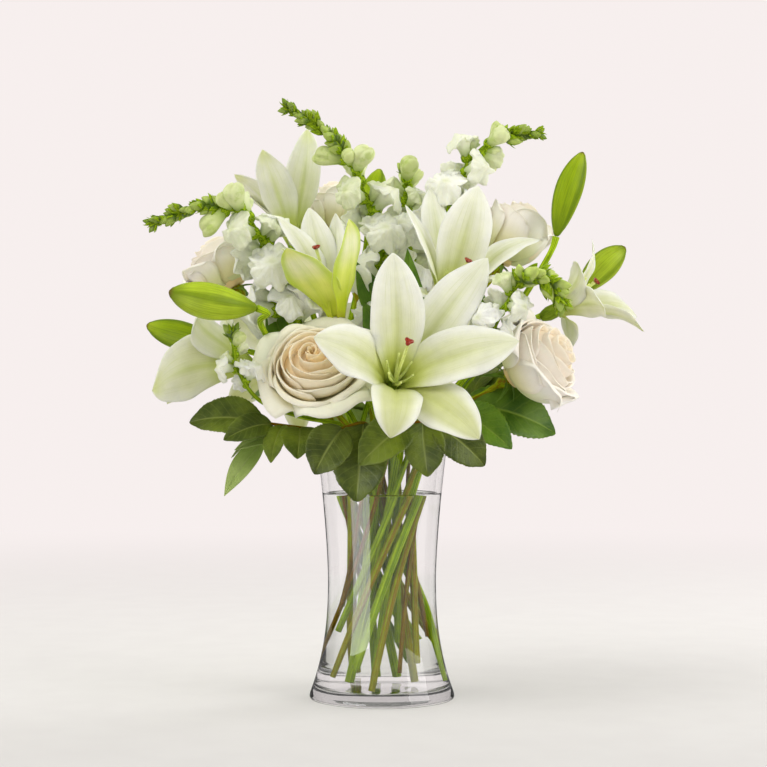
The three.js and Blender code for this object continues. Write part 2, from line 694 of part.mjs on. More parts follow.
const LILY_STEMS = {
  front: {
    stem: { ring: "inner", turn: 268, footHeight: 22, via: [[-6, -17, 226]] },
    radius: 3.1,
    stalks: [
      { to: LILIES.front.base, direction: LILIES.front.axis },
      { to: LILIES.half_open.base, direction: LILIES.half_open.axis },
    ],
  },
  centre: {
    stem: { ring: "inner", turn: 325, via: [[24, -10, 240]] },
    radius: 3.0,
    stalks: [{ to: LILIES.centre.base, direction: LILIES.centre.axis }],
    leaves: [
      { root: [22, -12, 232], tip: [12, -14, 292], width: 15, face: [0.3, -1, 0.2], shape: LANCE },
      { root: [20, -12, 228], tip: [-14, -13, 306], width: 28, face: [0, -1, 0.2] },
      { root: [24, -10, 240], tip: [20, 10, 350], width: 24, face: [0, -1, 0.2], arch: 0.05, shape: LANCE },
    ],
  },
  left: {
    stem: { ring: "outer", turn: 183, footHeight: 40, via: [[-62, -4, 236]] },
    radius: 3.0,
    stalks: [
      { to: LILIES.left.base, direction: LILIES.left.axis },
      {
        to: LILY_BUDS.left_upper.base,
        direction: [-0.7, -0.5, 0.3],
        via: [[-80, -2, 266], [-93, -30, 291]],
        bud: true,
      },
      { to: LILY_BUDS.left_lower.base, direction: [-0.9, 0, 0.3], via: [[-86, 16, 262]], bud: true },
    ],
    leaves: [
      { root: [-58, -3, 232], tip: [-104, 30, 232], width: 22, face: [0, 0.3, 1], shape: LANCE },
      { root: [-61, -4, 235], tip: [-90, 36, 312], width: 24, face: [-0.2, -1, 0.2], shape: LANCE },
    ],
  },
  right: {
    stem: { ring: "outer", turn: 5, footHeight: 26, via: [[80, 14, 262]] },
    radius: 3.0,
    stalks: [
      { to: LILIES.right.base, direction: LILIES.right.axis },
      { to: LILY_BUDS.right_upper.base, direction: [0.3, 0, 0.95], bud: true },
      { to: LILY_BUDS.right_lower.base, direction: [0.6, 0, 0.7], via: [[122, 44, 296]], bud: true },
    ],
    leaves: [
      { root: [60, 8, 236], tip: [104, 16, 262], width: 20, face: [-0.4, 0, 1], shape: LANCE },
      { root: [76, 12, 256], tip: [78, -8, 316], width: 20, face: [0, -1, 0.2], shape: LANCE },
    ],
  },
  back: {
    stem: { ring: "outer", turn: 124, via: [[-36, 48, 245]] },
    radius: 3.0,
    stalks: [
      { to: LILIES.back.base, direction: LILIES.back.axis },
      { to: LILIES.back_left.base, direction: LILIES.back_left.axis },
      { to: LILY_BUDS.back_upper.base, direction: [0.1, 0.4, 0.9], bud: true },
    ],
    leaves: [
      { root: [-36, 48, 244], tip: [-90, 66, 258], width: 22, face: [0, 0.3, 1], shape: LANCE },
      { root: [-34, 45, 238], tip: [4, 70, 282], width: 22, face: [0, 1, -0.4], shape: LANCE },
    ],
  },
};

const ROSES = {
  front: {
    base: [-49, -29, 245],
    axis: [-0.1, -0.78, 0.62],
    radius: 49,
    height: 42,
    open: 1,
    stem: { ring: "outer", turn: 234, via: [[-38, -25, 224]] },
  },
  right: {
    base: [98, -21, 248],
    axis: [0.8, -0.4, 0.5],
    radius: 46,
    height: 57,
    open: 0.55,
    stem: { ring: "outer", turn: 338, footHeight: 18, via: [[60, -16, 226]] },
    leaves: [
      { root: [66, -20, 226], tip: [135, -2, 205], width: 42, face: [0, -1, 0.6] },
      { root: [60, -19, 222], tip: [98, -44, 194], width: 32, face: [0, -1, 0.6] },
    ],
  },
  upper_right: {
    base: [94, 45, 342],
    axis: [0.45, 0.1, 0.85],
    radius: 38,
    height: 56,
    open: 0.2,
    stem: { ring: "outer", turn: 28, via: [[52, 36, 270], [72, 42, 318]] },
  },
  upper_left: {
    base: [-118, 48, 322],
    axis: [-0.5, 0.1, 0.8],
    radius: 41,
    height: 46,
    open: 0.5,
    turn: 17,
    stem: { ring: "outer", turn: 158, via: [[-60, 30, 255], [-88, 40, 300]] },
  },
  top: {
    base: [-36, 92, 370],
    axis: [-0.15, 0.12, 0.95],
    radius: 31,
    height: 46,
    open: 0.3,
    stem: { ring: "inner", turn: 112, via: [[-10, 50, 262], [-24, 80, 325]] },
  },
  back: {
    base: [42, 99, 289],
    axis: [0.2, 0.85, 0.45],
    radius: 42,
    height: 42,
    open: 0.9,
    stem: { ring: "outer", turn: 76, footHeight: 30, via: [[20, 58, 250]] },
  },
};

for (const rose of Object.values(ROSES)) {
  const end = point(rose.base).addScaledVector(point(rose.axis).normalize(), -11);
  rose.stem.via.push(end.toArray());
}

const SNAPDRAGONS = {
  top_left: {
    stem: {
      ring: "inner",
      turn: 156,
      footHeight: 34,
      via: [[-2, 18, 260], [2, 34, 320], [-8, 30, 376], [-28, 14, 423], [-48, 6, 444], [-76, 0, 460]],
    },
    spike: 215,
    buds: 9,
    florets: 12,
    leaves: [{ root: [1, 27, 290], tip: [-20, 16, 340], width: 22, face: [0, -1, 0.2], shape: LANCE }],
  },
  left: {
    stem: {
      ring: "inner",
      turn: 196,
      via: [[-44, 0, 252], [-76, 7, 298], [-90, 2, 344], [-108, -8, 376], [-140, -12, 380], [-179, -12, 367]],
    },
    spike: 172,
    buds: 9,
    florets: 10,
  },
  centre: {
    stem: {
      ring: "inner",
      turn: 70,
      footHeight: 44,
      via: [[16, 46, 270], [19, 77, 335], [21, 87, 385], [19, 87, 425]],
    },
    spike: 100,
    buds: 2,
    florets: 8,
  },
  top_right: {
    stem: {
      ring: "inner",
      turn: 22,
      via: [[30, 22, 260], [45, 35, 330], [56, 35, 395], [74, 40, 427], [98, 46, 444], [128, 46, 446]],
    },
    spike: 130,
    buds: 6,
    florets: 9,
    size: 30,
  },
  front_right: {
    stem: {
      ring: "outer",
      turn: 312,
      footHeight: 52,
      via: [[48, -38, 232], [74, -48, 264], [90, -68, 298], [107, -78, 322], [122, -80, 318], [133, -80, 301]],
    },
    spike: 84,
    buds: 8,
    florets: 5,
    size: 24,
  },
  front_left: {
    stem: {
      ring: "inner",
      turn: 226,
      via: [[-40, -14, 214], [-64, -26, 219], [-94, -42, 232], [-109, -50, 256], [-112, -54, 284]],
    },
    spike: 42,
    buds: 2,
    florets: 4,
    size: 20,
  },
};

const BRANCHES = {
  lemon_leaf_left: {
    material: SALAL_GREEN,
    stem: { ring: "outer", turn: 212, footHeight: 60, via: [[-54, -33, 209], [-92, -30, 214]] },
    leaves: [
      { root: [-90, -30, 214], tip: [-147, -28, 214], width: 34, face: [0, -1, 0.7] },
      { root: [-84, -31, 213], tip: [-119, -50, 201], width: 22, face: [0, -1, 0.4] },
      { root: [-76, -32, 212], tip: [-83, -56, 184], width: 18, face: [-0.3, -1, 0.2] },
      { root: [-62, -33, 210], tip: [-63, -60, 187], width: 28, face: [0, -1, 0.4] },
    ],
  },
  ruscus_left: {
    material: RUSCUS_GREEN,
    stem: { ring: "outer", turn: 198, footHeight: 20, via: [[-58, -14, 206], [-92, -16, 200]] },
    leaves: [
      { root: [-72, -15, 204], tip: [-112, -36, 193], width: 15, face: [0, -1, 0.7], shape: LANCE },
      { root: [-82, -16, 202], tip: [-117, -6, 186], width: 13, shape: LANCE },
      { root: [-91, -16, 200], tip: [-120, -32, 158], width: 18, face: [-0.3, -1, 0.1], shape: LANCE },
    ],
  },
  lemon_leaf_front: {
    material: SALAL_GREEN,
    stem: { ring: "outer", turn: 257, footHeight: 70, via: [[-14, -52, 214], [-30, -58, 210]] },
    leaves: [
      { root: [-14, -52, 213], tip: [-19, -62, 155], width: 42, face: [0, -1, 0.15] },
      { root: [-29, -58, 210], tip: [-50, -68, 176], width: 34, face: [0, -1, 0.3] },
    ],
  },
  lemon_leaf_front_right: {
    material: SALAL_GREEN,
    stem: { ring: "outer", turn: 283, footHeight: 14, via: [[20, -54, 214], [40, -58, 214]] },
    leaves: [
      { root: [20, -55, 213], tip: [-17, -74, 183], width: 33, face: [0, -1, 0.4] },
      { root: [30, -57, 213], tip: [34, -64, 174], width: 31, face: [0, -1, 0.3] },
      { root: [39, -58, 213], tip: [77, -56, 182], width: 33, face: [0, -1, 0.4] },
    ],
  },
  lemon_leaf_right: {
    material: SALAL_GREEN,
    stem: { ring: "outer", turn: 54, footHeight: 24, via: [[50, 40, 224], [92, 52, 244]] },
    leaves: [
      { root: [50, 40, 222], tip: [96, 20, 200], width: 32, face: [0.3, -0.8, 0.8] },
      { root: [64, 44, 230], tip: [92, 86, 208], width: 34, face: [0.3, 0.3, 1] },
      { root: [78, 48, 238], tip: [132, 26, 238], width: 30, face: [0.2, -0.8, 0.8] },
      { root: [90, 52, 243], tip: [138, 74, 250], width: 34, face: [0, 0, 1] },
      { root: [70, 46, 234], tip: [104, 84, 262], width: 32, face: [0.4, 0.4, 1] },
      { root: [54, 40, 224], tip: [60, 78, 196], width: 30, face: [0.3, 0.8, 0.6] },
    ],
  },
  lemon_leaf_back: {
    material: SALAL_GREEN,
    stem: { ring: "outer", turn: 101, footHeight: 48, via: [[-8, 56, 218], [-6, 84, 224]] },
    leaves: [
      { root: [-8, 56, 217], tip: [-48, 88, 184], width: 36, face: [0, 0.8, 0.6] },
      { root: [-7, 66, 220], tip: [36, 94, 190], width: 36, face: [0, 0.8, 0.6] },
      { root: [-6, 82, 223], tip: [-2, 128, 212], width: 36, face: [0, 0.5, 1] },
      { root: [-8, 60, 218], tip: [-66, 72, 216], width: 34, face: [0, 0.6, 1] },
      { root: [-7, 74, 221], tip: [26, 112, 236], width: 32, face: [0.2, 0.4, 1] },
    ],
  },
};

// The pieces, from the flowers down to the glass.

for (const [name, flower] of Object.entries(LILIES)) addLily(name, flower);
for (const [name, bud] of Object.entries(LILY_BUDS)) addPiece(`lily_bud_${name}`, lilyBud(bud), BUD_GREEN);
for (const [name, plan] of Object.entries(LILY_STEMS))
  addPiece(`lily_stem_${name}`, lilyStem(plan), STEM_GREEN);
for (const [name, rose] of Object.entries(ROSES)) {
  addPiece(`rose_${name}_bloom`, roseBloom(rose), ROSE_CREAM, headGroup(rose));
  addPiece(`rose_${name}_stem`, roseStem(rose), ROSE_GREEN);
}
for (const [name, spike] of Object.entries(SNAPDRAGONS))
  addPiece(`snapdragon_${name}`, snapdragon(spike), SPIKE_PALE);
for (const [name, plan] of Object.entries(BRANCHES)) addPiece(name, branch(plan), plan.material);
addPiece("water", makeWater(stemHoles), WATER);
addPiece("vase", makeVase(), GLASS);

export default object;
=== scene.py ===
# %% [markdown]
# # White lilies in a glass vase
#
# This notebook dresses a bouquet: open white lilies and their green buds, cream roses, snapdragon
# spikes, lemon leaf and ruscus, all standing in water in a waisted glass vase. The solid model gives
# each flower's place. Here every petal, leaf and stem becomes a fine surface in that same place.
# Lengths are in millimetres until a mesh is made, because flowers are easier to think of that way.

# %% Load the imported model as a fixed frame
import math

import bpy
import numpy as np
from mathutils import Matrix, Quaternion, Vector


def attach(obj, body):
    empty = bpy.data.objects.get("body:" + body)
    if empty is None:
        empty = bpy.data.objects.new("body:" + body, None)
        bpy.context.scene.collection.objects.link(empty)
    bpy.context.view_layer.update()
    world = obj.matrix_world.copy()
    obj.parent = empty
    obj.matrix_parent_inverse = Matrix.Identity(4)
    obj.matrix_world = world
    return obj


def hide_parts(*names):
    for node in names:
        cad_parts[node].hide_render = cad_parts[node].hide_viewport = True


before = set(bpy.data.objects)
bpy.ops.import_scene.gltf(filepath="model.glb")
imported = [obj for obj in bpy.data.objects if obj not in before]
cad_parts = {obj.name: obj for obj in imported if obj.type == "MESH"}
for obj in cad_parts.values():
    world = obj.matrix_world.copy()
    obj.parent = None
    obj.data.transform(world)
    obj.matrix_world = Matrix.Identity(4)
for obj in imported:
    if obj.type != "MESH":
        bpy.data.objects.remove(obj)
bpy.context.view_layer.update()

# %% [markdown]
# ## Points, curves and turns
#
# A flower is built upright in its own frame and then turned onto its stalk, as a florist would lay it
# there. Blender could do that with empties and parents. Turning the points in numpy keeps each piece
# as one mesh whose coordinates are already true, which the finishes below also rely on.

# %% Millimetres, turns and repeatable chance
METRE = 0.001


def point(values):
    return np.array(values, float)


def unit(vector):
    return vector / (np.linalg.norm(vector) + 1e-12)


def chance(piece, feature=0):
    """A repeatable number from 0 to 1 for a piece and one of its features."""
    value = math.sin(piece * 12.9898 + feature * 78.233) * 43758.5453
    return value - math.floor(value)


def turned_onto(axis, turn=0.0):
    """The matrix that lays the upright direction along an axis, after a turn about it in degrees."""
    lay = Vector((0, 0, 1)).rotation_difference(Vector(unit(point(axis))))
    about = Quaternion((0, 0, 1), math.radians(turn))
    return np.array((lay @ about).to_matrix())


def smooth_step(x):
    """From 0 to 1 with soft ends, the same curve that the shaders' map range has."""
    x = np.clip(x, 0, 1)
    return x * x * (3 - 2 * x)


print("upright laid along x:", turned_onto((1, 0, 0)) @ (0, 0, 1))


# %% A smooth curve through a few points
def curve_through(stops, count):
    """Centripetal Catmull-Rom: it passes through each stop and doesn't loop between close ones."""
    stops = [point(s) for s in stops]
    first = 2 * stops[0] - stops[1]
    last = 2 * stops[-1] - stops[-2]
    row = [first, *stops, last]
    made = []
    for where in np.linspace(0, len(stops) - 1, 12 * len(stops)):
        i = min(int(where), len(stops) - 2)
        w = where - i
        a, b, c, d = row[i : i + 4]
        steps = ((a, b), (b, c), (c, d))
        before, here, after = (max(np.linalg.norm(q - p), 1e-6) ** 0.5 for p, q in steps)
        leave = ((b - a) / before - (c - a) / (before + here) + (c - b) / here) * here
        arrive = ((c - b) / here - (d - b) / (here + after) + (d - c) / after) * here
        made.append(
            b
            + leave * w
            + (3 * (c - b) - 2 * leave - arrive) * w**2
            + (2 * (b - c) + leave + arrive) * w**3
        )
    return evenly(np.array(made), count)


def evenly(line, count):
    """The same line with its points at equal distances."""
    steps = np.linalg.norm(np.diff(line, axis=0), axis=1)
    gone = np.concatenate([[0], np.cumsum(steps)])
    wanted = np.linspace(0, gone[-1], count)
    return np.stack([np.interp(wanted, gone, line[:, k]) for k in range(3)], axis=1)


def bezier(a, b, c, d, t):
    """Points and directions of a cubic Bezier curve, for an array of shares t."""
    t = np.asarray(t)[..., None]
    place = a * (1 - t) ** 3 + 3 * b * t * (1 - t) ** 2 + 3 * c * t**2 * (1 - t) + d * t**3
    way = 3 * (b - a) * (1 - t) ** 2 + 6 * (c - b) * t * (1 - t) + 3 * (d - c) * t**2
    return place, way / (np.linalg.norm(way, axis=-1, keepdims=True) + 1e-9)


bend = curve_through([(0, 0, 0), (10, 0, 8), (20, 0, 0)], 5)
print("a bend through three stops:", bend.round(1).tolist())


# %% [markdown]
# ## From points to Blender meshes
#
# Three kinds of surface make the whole bouquet: a thin sheet for petals and leaves, a tube for stems,
# and a turned or lobed body for buds. Each is a grid of points. The grid's two directions are kept as
# a UV map, so that a finish can run veins from the root of a petal to its tip.

# %% Collect the surfaces of one piece
class Bunch:
    """The surfaces of one piece, gathered before they become one mesh."""

    def __init__(self):
        self.points, self.quads, self.threes = [], [], []
        self.along, self.tone, self.quad_finish, self.three_finish = [], [], [], []
        self.count = 0

    def add(self, points, quads, threes, along, tone=0.0, quad_finish=0, three_finish=0):
        points = points.reshape(-1, 3)
        self.points.append(points)
        self.quads.append(quads.reshape(-1, 4) + self.count)
        self.threes.append(threes.reshape(-1, 3) + self.count)
        self.along.append(along.reshape(-1, 2))
        self.tone.append(np.broadcast_to(tone, len(points)))
        self.quad_finish.append(np.broadcast_to(quad_finish, len(self.quads[-1])))
        self.three_finish.append(np.broadcast_to(three_finish, len(self.threes[-1])))
        self.count += len(points)


NO_THREES = np.zeros((0, 3), int)


# %% Make a Blender object of them
def to_object(name, bunch, finishes):
    """One Blender object from a bunch, with its UV map and its tone."""
    points = np.concatenate(bunch.points) * METRE
    quads, threes = np.concatenate(bunch.quads), np.concatenate(bunch.threes)
    loops = np.concatenate([quads.ravel(), threes.ravel()]).astype(np.int32)
    sizes = np.concatenate([np.full(len(quads), 4), np.full(len(threes), 3)])
    mesh = bpy.data.meshes.new(name)
    mesh.vertices.add(len(points))
    mesh.vertices.foreach_set("co", points.astype(np.float32).ravel())
    mesh.loops.add(len(loops))
    mesh.loops.foreach_set("vertex_index", loops)
    mesh.polygons.add(len(sizes))
    starts = np.concatenate([[0], np.cumsum(sizes)[:-1]]).astype(np.int32)
    mesh.polygons.foreach_set("loop_start", starts)
    finish = np.concatenate(bunch.quad_finish + bunch.three_finish).astype(np.int32)
    mesh.polygons.foreach_set("material_index", finish)
    mesh.polygons.foreach_set("use_smooth", np.ones(len(sizes), bool))
    mesh.update(calc_edges=True)
    along = np.concatenate(bunch.along)[loops]
    mesh.uv_layers.new(name="along").data.foreach_set("uv", along.astype(np.float32).ravel())
    tone = np.concatenate(bunch.tone).astype(np.float32)
    mesh.attributes.new("tone", "FLOAT", "POINT").data.foreach_set("value", tone)
    made = bpy.data.objects.new(name, mesh)
    bpy.context.scene.collection.objects.link(made)
    for finish in finishes:
        mesh.materials.append(finish)
    return made


# %% Let a piece stand for a node of the solid model
triangles = {}


def stand_for(name, bunch, finishes, node):
    """Makes the piece, hides the solid node that it stands for, and says what it is finished with."""
    made = to_object(name, bunch, finishes)
    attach(made, "root")
    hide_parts(node)
    triangles[name] = sum(2 * len(q) for q in bunch.quads) + sum(len(t) for t in bunch.threes)
    return made


# %% A thin sheet for a petal or a leaf
def grid_index(rows, columns):
    return np.arange(rows * columns).reshape(rows, columns)


def add_sheet(bunch, grid, thickness, tone=0.0, face=0, back=1):
    """A closed sheet round a grid of middle points. The face looks along (row step) x (column step)."""
    rows, columns = grid.shape[:2]
    normal = np.cross(np.gradient(grid, axis=0), np.gradient(grid, axis=1))
    normal /= np.linalg.norm(normal, axis=2, keepdims=True) + 1e-9
    u = np.linspace(0, 1, rows)[:, None]
    v = np.linspace(-1, 1, columns)[None, :]
    thin = 1 - 0.75 * np.maximum(np.abs(v) ** 6, np.abs(2 * u - 1) ** 12)
    half = (thickness / 2 * thin)[..., None]
    points = np.concatenate([(grid + normal * half).reshape(-1, 3), (grid - normal * half).reshape(-1, 3)])
    top = grid_index(rows, columns)
    low = top + top.size
    a, b, c, d = top[:-1, :-1], top[1:, :-1], top[1:, 1:], top[:-1, 1:]
    upper = np.stack([a, b, c, d], -1).reshape(-1, 4)
    lower = upper[:, ::-1] + top.size
    rims = [
        np.stack([top[:-1, 0], low[:-1, 0], low[1:, 0], top[1:, 0]], -1),
        np.stack([top[:-1, -1], top[1:, -1], low[1:, -1], low[:-1, -1]], -1),
        np.stack([top[0, :-1], top[0, 1:], low[0, 1:], low[0, :-1]], -1),
        np.stack([top[-1, :-1], low[-1, :-1], low[-1, 1:], top[-1, 1:]], -1),
    ]
    rim = np.concatenate(rims)
    along = np.stack(np.broadcast_arrays(u, (v + 1) / 2), -1).reshape(-1, 2)
    finish = np.concatenate([np.full(len(upper), face), np.full(len(lower), back), np.full(len(rim), face)])
    bunch.add(
        points,
        np.concatenate([upper, lower, rim]),
        NO_THREES,
        np.concatenate([along, along]),
        tone,
        finish,
    )


# %% A tube for a stem, and a body made of rings
def add_rings(bunch, rings, tone=0.0, finish=0):
    """A closed body from rings of equal length, each end drawn together to one point."""
    rows, sides = rings.shape[:2]
    ends = np.stack([rings[0].mean(0), rings[-1].mean(0)])
    points = np.concatenate([rings.reshape(-1, 3), ends])
    index = grid_index(rows, sides)
    after = np.roll(index, -1, axis=1)
    quads = np.stack([index[:-1], after[:-1], after[1:], index[1:]], -1).reshape(-1, 4)
    foot = np.stack([after[0], index[0], np.full(sides, rows * sides)], -1)
    head = np.stack([index[-1], after[-1], np.full(sides, rows * sides + 1)], -1)
    u = np.broadcast_to(np.linspace(0, 1, rows)[:, None], (rows, sides))
    v = np.broadcast_to(np.abs(np.linspace(-1, 1, sides, endpoint=False))[None, :], (rows, sides))
    along = np.concatenate([np.stack([u, v], -1).reshape(-1, 2), [[0, 0.5], [1, 0.5]]])
    bunch.add(points, quads, np.concatenate([foot, head]), along, tone, finish, finish)


def rings_along(line, radii, sides, lobes=None):
    """Rings square to a line. lobes(turn) may swell a ring at some turns."""
    line = np.asarray(line, float)
    way = np.gradient(line, axis=0)
    way /= np.linalg.norm(way, axis=1, keepdims=True) + 1e-9
    radii = np.broadcast_to(radii, len(line))
    side = np.array([1.0, 0.2, 0.1])
    turn = np.linspace(0, 2 * math.pi, sides, endpoint=False)
    swell = np.ones(sides) if lobes is None else lobes(turn)
    rings = []
    for place, direction, radius in zip(line, way, radii):
        side = unit(side - direction * np.dot(side, direction))
        up = np.cross(direction, side)
        reach = (radius * swell)[:, None]
        rings.append(place + reach * (np.cos(turn)[:, None] * side + np.sin(turn)[:, None] * up))
    return np.array(rings)


def add_tube(bunch, line, radii, sides=10, tone=0.0, finish=0, lobes=None):
    add_rings(bunch, rings_along(line, radii, sides, lobes), tone, finish)


def upright_body(outline, sides, lobes=None):
    """Rings of a body that stands upright, from rows of radius and height."""
    radii, heights = np.asarray(outline, float).T
    return rings_along(np.stack([0 * heights, 0 * heights, heights], -1), radii, sides, lobes)


sample = Bunch()
add_tube(sample, [(0, 0, 0), (0, 0, 10)], 1.0)
print("a short tube takes", sample.count, "points")


# %% [markdown]
# ## Finishes
#
# Petals are thin and wet inside, so light goes into them, scatters and comes out soft. Blender's
# Principled shader has subsurface scattering for that. Colour comes from the petal's own map: lime at
# the root, ivory further out, a line of green along the midrib. Fine veins are a bump from noise that
# is stretched from root to tip. Node trees could be joined by hand in the shader editor. A small
# helper does it here, so each finish reads as a list of what is mixed with what.

# %% A helper that joins nodes
def linear(red, green, blue):
    """A colour as seen on a screen, 0 to 255, as the linear numbers that shaders take."""
    channels = [c / 255 for c in (red, green, blue)]
    return tuple(c / 12.92 if c <= 0.04045 else ((c + 0.055) / 1.055) ** 2.4 for c in channels) + (1.0,)


class Nodes:
    """A node tree with short ways to add nodes and to join them."""

    def __init__(self, tree):
        self.tree = tree

    def feed(self, node, socket, value):
        target = node.inputs[socket]
        if isinstance(value, bpy.types.NodeSocket):
            self.tree.links.new(value, target)
        else:
            target.default_value = value

    def add(self, kind, **inputs):
        node = self.tree.nodes.new("ShaderNode" + kind)
        for socket, value in inputs.items():
            self.feed(node, socket.replace("_", " "), value)
        return node

    def fill(self, node, *values):
        """Feeds the first sockets of a node in their order."""
        for number, value in enumerate(values):
            self.feed(node, number, value)
        return node.outputs[0]

    def math(self, operation, *values, clamped=False):
        node = self.add("Math")
        node.operation = operation
        node.use_clamp = clamped
        return self.fill(node, *values)

    def times(self, first, second):
        return self.math("MULTIPLY", first, second)

    def spread(self, value, low, high, to_low=0.0, to_high=1.0, way="SMOOTHSTEP"):
        """value from low..high drawn to to_low..to_high, with soft ends unless the way is LINEAR."""
        node = self.add("MapRange")
        node.interpolation_type = way
        return self.fill(node, value, low, high, to_low, to_high)

    def mix(self, share, first, second):
        """Two colours mixed by a share."""
        node = self.add("Mix")
        node.data_type = "RGBA"
        for number, value in ((0, share), (6, first), (7, second)):
            self.feed(node, number, value)
        return node.outputs[2]

    def choose(self, share, first, second):
        """Two shaders mixed by a share."""
        return self.fill(self.add("MixShader"), share, first, second)


# %% A helper that builds a finish
class Finish(Nodes):
    """A material with a Principled shader, fed from the piece's own map and tone."""

    def __init__(self, name, **settings):
        self.material = bpy.data.materials.new(name)
        self.material.use_nodes = True
        super().__init__(self.material.node_tree)
        self.shader = self.tree.nodes["Principled BSDF"]
        for socket, value in settings.items():
            self.feed(self.shader, socket.replace("_", " "), value)

    def map(self):
        node = self.add("UVMap")
        node.uv_map = "along"
        return node.outputs["UV"]

    def along(self):
        """u from root to tip, and across as the distance from the midrib, 0 to 1."""
        split = self.add("SeparateXYZ", Vector=self.map())
        across = self.math("ABSOLUTE", self.math("MULTIPLY_ADD", split.outputs["Y"], 2.0, -1.0))
        return split.outputs["X"], across

    def tone(self):
        node = self.add("Attribute")
        node.attribute_name = "tone"
        return node.outputs["Fac"]

    def place(self):
        return self.add("TexCoord").outputs["Object"]

    def noise(self, vector, scale, detail=3.0, roughness=0.5):
        made = self.add("TexNoise", Vector=vector, Scale=scale, Detail=detail, Roughness=roughness)
        return made.outputs["Fac"]

    def fibres(self, lengthwise, crosswise, detail=4.0, roughness=0.6):
        """Noise drawn out from the root to the tip. The numbers say how many grains lie each way."""
        drawn = self.add("Mapping", Vector=self.map(), Scale=(lengthwise, crosswise, 1.0))
        return self.noise(drawn.outputs["Vector"], 1.0, detail, roughness)

    def ramp(self, share, *stops):
        node = self.add("ValToRGB", Fac=share)
        node.color_ramp.interpolation = "EASE"
        elements = node.color_ramp.elements
        while len(elements) < len(stops):
            elements.new(0.5)
        for element, (position, colour) in zip(elements, stops):
            element.position = position
            element.color = colour
        return node.outputs["Color"]

    def lightened(self, colour, value):
        return self.add("HueSaturation", Color=colour, Value=value).outputs["Color"]

    def paint(self, colour, uneven=0.0, scale=50.0):
        """The base colour, uneven as growth leaves it, in soft patches up to two centimetres wide."""
        if uneven:
            patches = self.noise(self.place(), scale, 4.0, 0.6)
            colour = self.lightened(colour, self.spread(patches, 0.3, 0.7, 1 - uneven, 1 + uneven))
        self.feed(self.shader, "Base Color", colour)

    def bump(self, height, strength, distance):
        made = self.add("Bump", Height=height, Strength=strength, Distance=distance)
        self.feed(self.shader, "Normal", made.outputs["Normal"])

    def shows(self, shader):
        self.feed(self.tree.nodes["Material Output"], "Surface", shader)


print("ivory, 240 242 224 on a screen, is", [round(c, 3) for c in linear(240, 242, 224)])


# %% [markdown]
# ## The lily's finishes
#
# A white lily isn't plain white. Its throat is lime, the middle of each petal keeps a faint green
# line almost to the tip, and the outside is greener than the inside. The half-open flower is still
# mostly lime outside, with a green margin. Both sides get their own finish, because the sheet's face
# and back are separate faces of the mesh. A petal's tone says how far it hangs, and low petals get a
# painted shade: they are painted darker and greener, where less light falls on them.

# %% How a lily petal is finished
PETAL_GLOW = dict(Subsurface_Weight=0.3, Subsurface_Scale=0.003)
IVORY_DEPTH = (1.0, 0.95, 0.55)
GREEN_DEPTH = (0.7, 1.0, 0.25)
# Painted shade: the darker green that petals hanging low are mixed towards.
LOW_PETAL_SHADE = linear(188, 194, 112)


def petal_finish(name, root, throat, middle, body, tip, rib, rib_width, rib_strength, margin, margin_share):
    finish = Finish(
        name, Roughness=0.45, Specular_IOR_Level=0.3, Subsurface_Radius=IVORY_DEPTH, **PETAL_GLOW
    )
    u, across = finish.along()
    ground = finish.ramp(u, (0.0, root), (0.2, throat), (0.46, middle), (0.8, body), (1.0, tip))
    rib_line = finish.times(finish.spread(across, rib_width, 0.0), finish.spread(u, 1.0, 0.45))
    colour = finish.mix(finish.times(rib_line, rib_strength), ground, rib)
    veins = finish.fibres(2.2, 46.0)
    colour = finish.mix(finish.spread(veins, 0.42, 0.7, 0.0, 0.3), colour, rib)
    # Painted shade: a low-hanging petal's tone mixes in the darker green.
    colour = finish.mix(finish.times(finish.tone(), 0.7), colour, LOW_PETAL_SHADE)
    edge = finish.spread(across, 0.42, 0.9, 0.0, margin_share)
    colour = finish.mix(finish.times(edge, finish.spread(u, 0.15, 0.5)), colour, margin)
    finish.paint(colour, 0.05, 60.0)
    fine = finish.fibres(3.0, 110.0, 3.0)
    finish.bump(finish.math("ADD", finish.times(veins, 0.7), finish.times(fine, 0.3)), 0.5, 0.0012)
    return finish.material


# %% Petal finishes of the lilies
lily_face = petal_finish(
    "lily_petal_face",
    root=linear(138, 162, 26),
    throat=linear(206, 216, 108),
    middle=linear(227, 230, 198),
    body=linear(236, 238, 218),
    tip=linear(240, 242, 222),
    rib=linear(190, 200, 112),
    rib_width=0.34,
    rib_strength=0.5,
    margin=linear(246, 247, 236),
    margin_share=0.7,
)
lily_back = petal_finish(
    "lily_petal_back",
    root=linear(144, 168, 30),
    throat=linear(198, 212, 100),
    middle=linear(234, 237, 206),
    body=linear(240, 242, 224),
    tip=linear(226, 234, 178),
    rib=linear(194, 208, 116),
    rib_width=0.24,
    rib_strength=0.6,
    margin=linear(246, 247, 236),
    margin_share=0.5,
)
lime_back = petal_finish(
    "half_open_petal_back",
    root=linear(168, 160, 34),
    throat=linear(206, 222, 54),
    middle=linear(236, 246, 124),
    body=linear(251, 253, 210),
    tip=linear(232, 241, 140),
    rib=linear(192, 218, 34),
    rib_width=0.36,
    rib_strength=0.32,
    margin=linear(182, 212, 34),
    margin_share=0.7,
)
print("petal finishes:", lily_face.name, lily_back.name, lime_back.name)


# %% Finishes of the lily's heart and of stems
def plain_plant(name, colour, second, rough=0.45):
    """A green part whose two shades run into each other along the growth."""
    finish = Finish(
        name,
        Roughness=rough,
        Specular_IOR_Level=0.06,
        Subsurface_Weight=0.1,
        Subsurface_Scale=0.003,
        Subsurface_Radius=GREEN_DEPTH,
    )
    streak = finish.fibres(3.0, 14.0)
    finish.paint(finish.mix(finish.spread(streak, 0.4, 0.6), colour, second), 0.18, 60.0)
    finish.bump(finish.fibres(8.0, 30.0, 3.0), 0.3, 0.0006)
    return finish.material


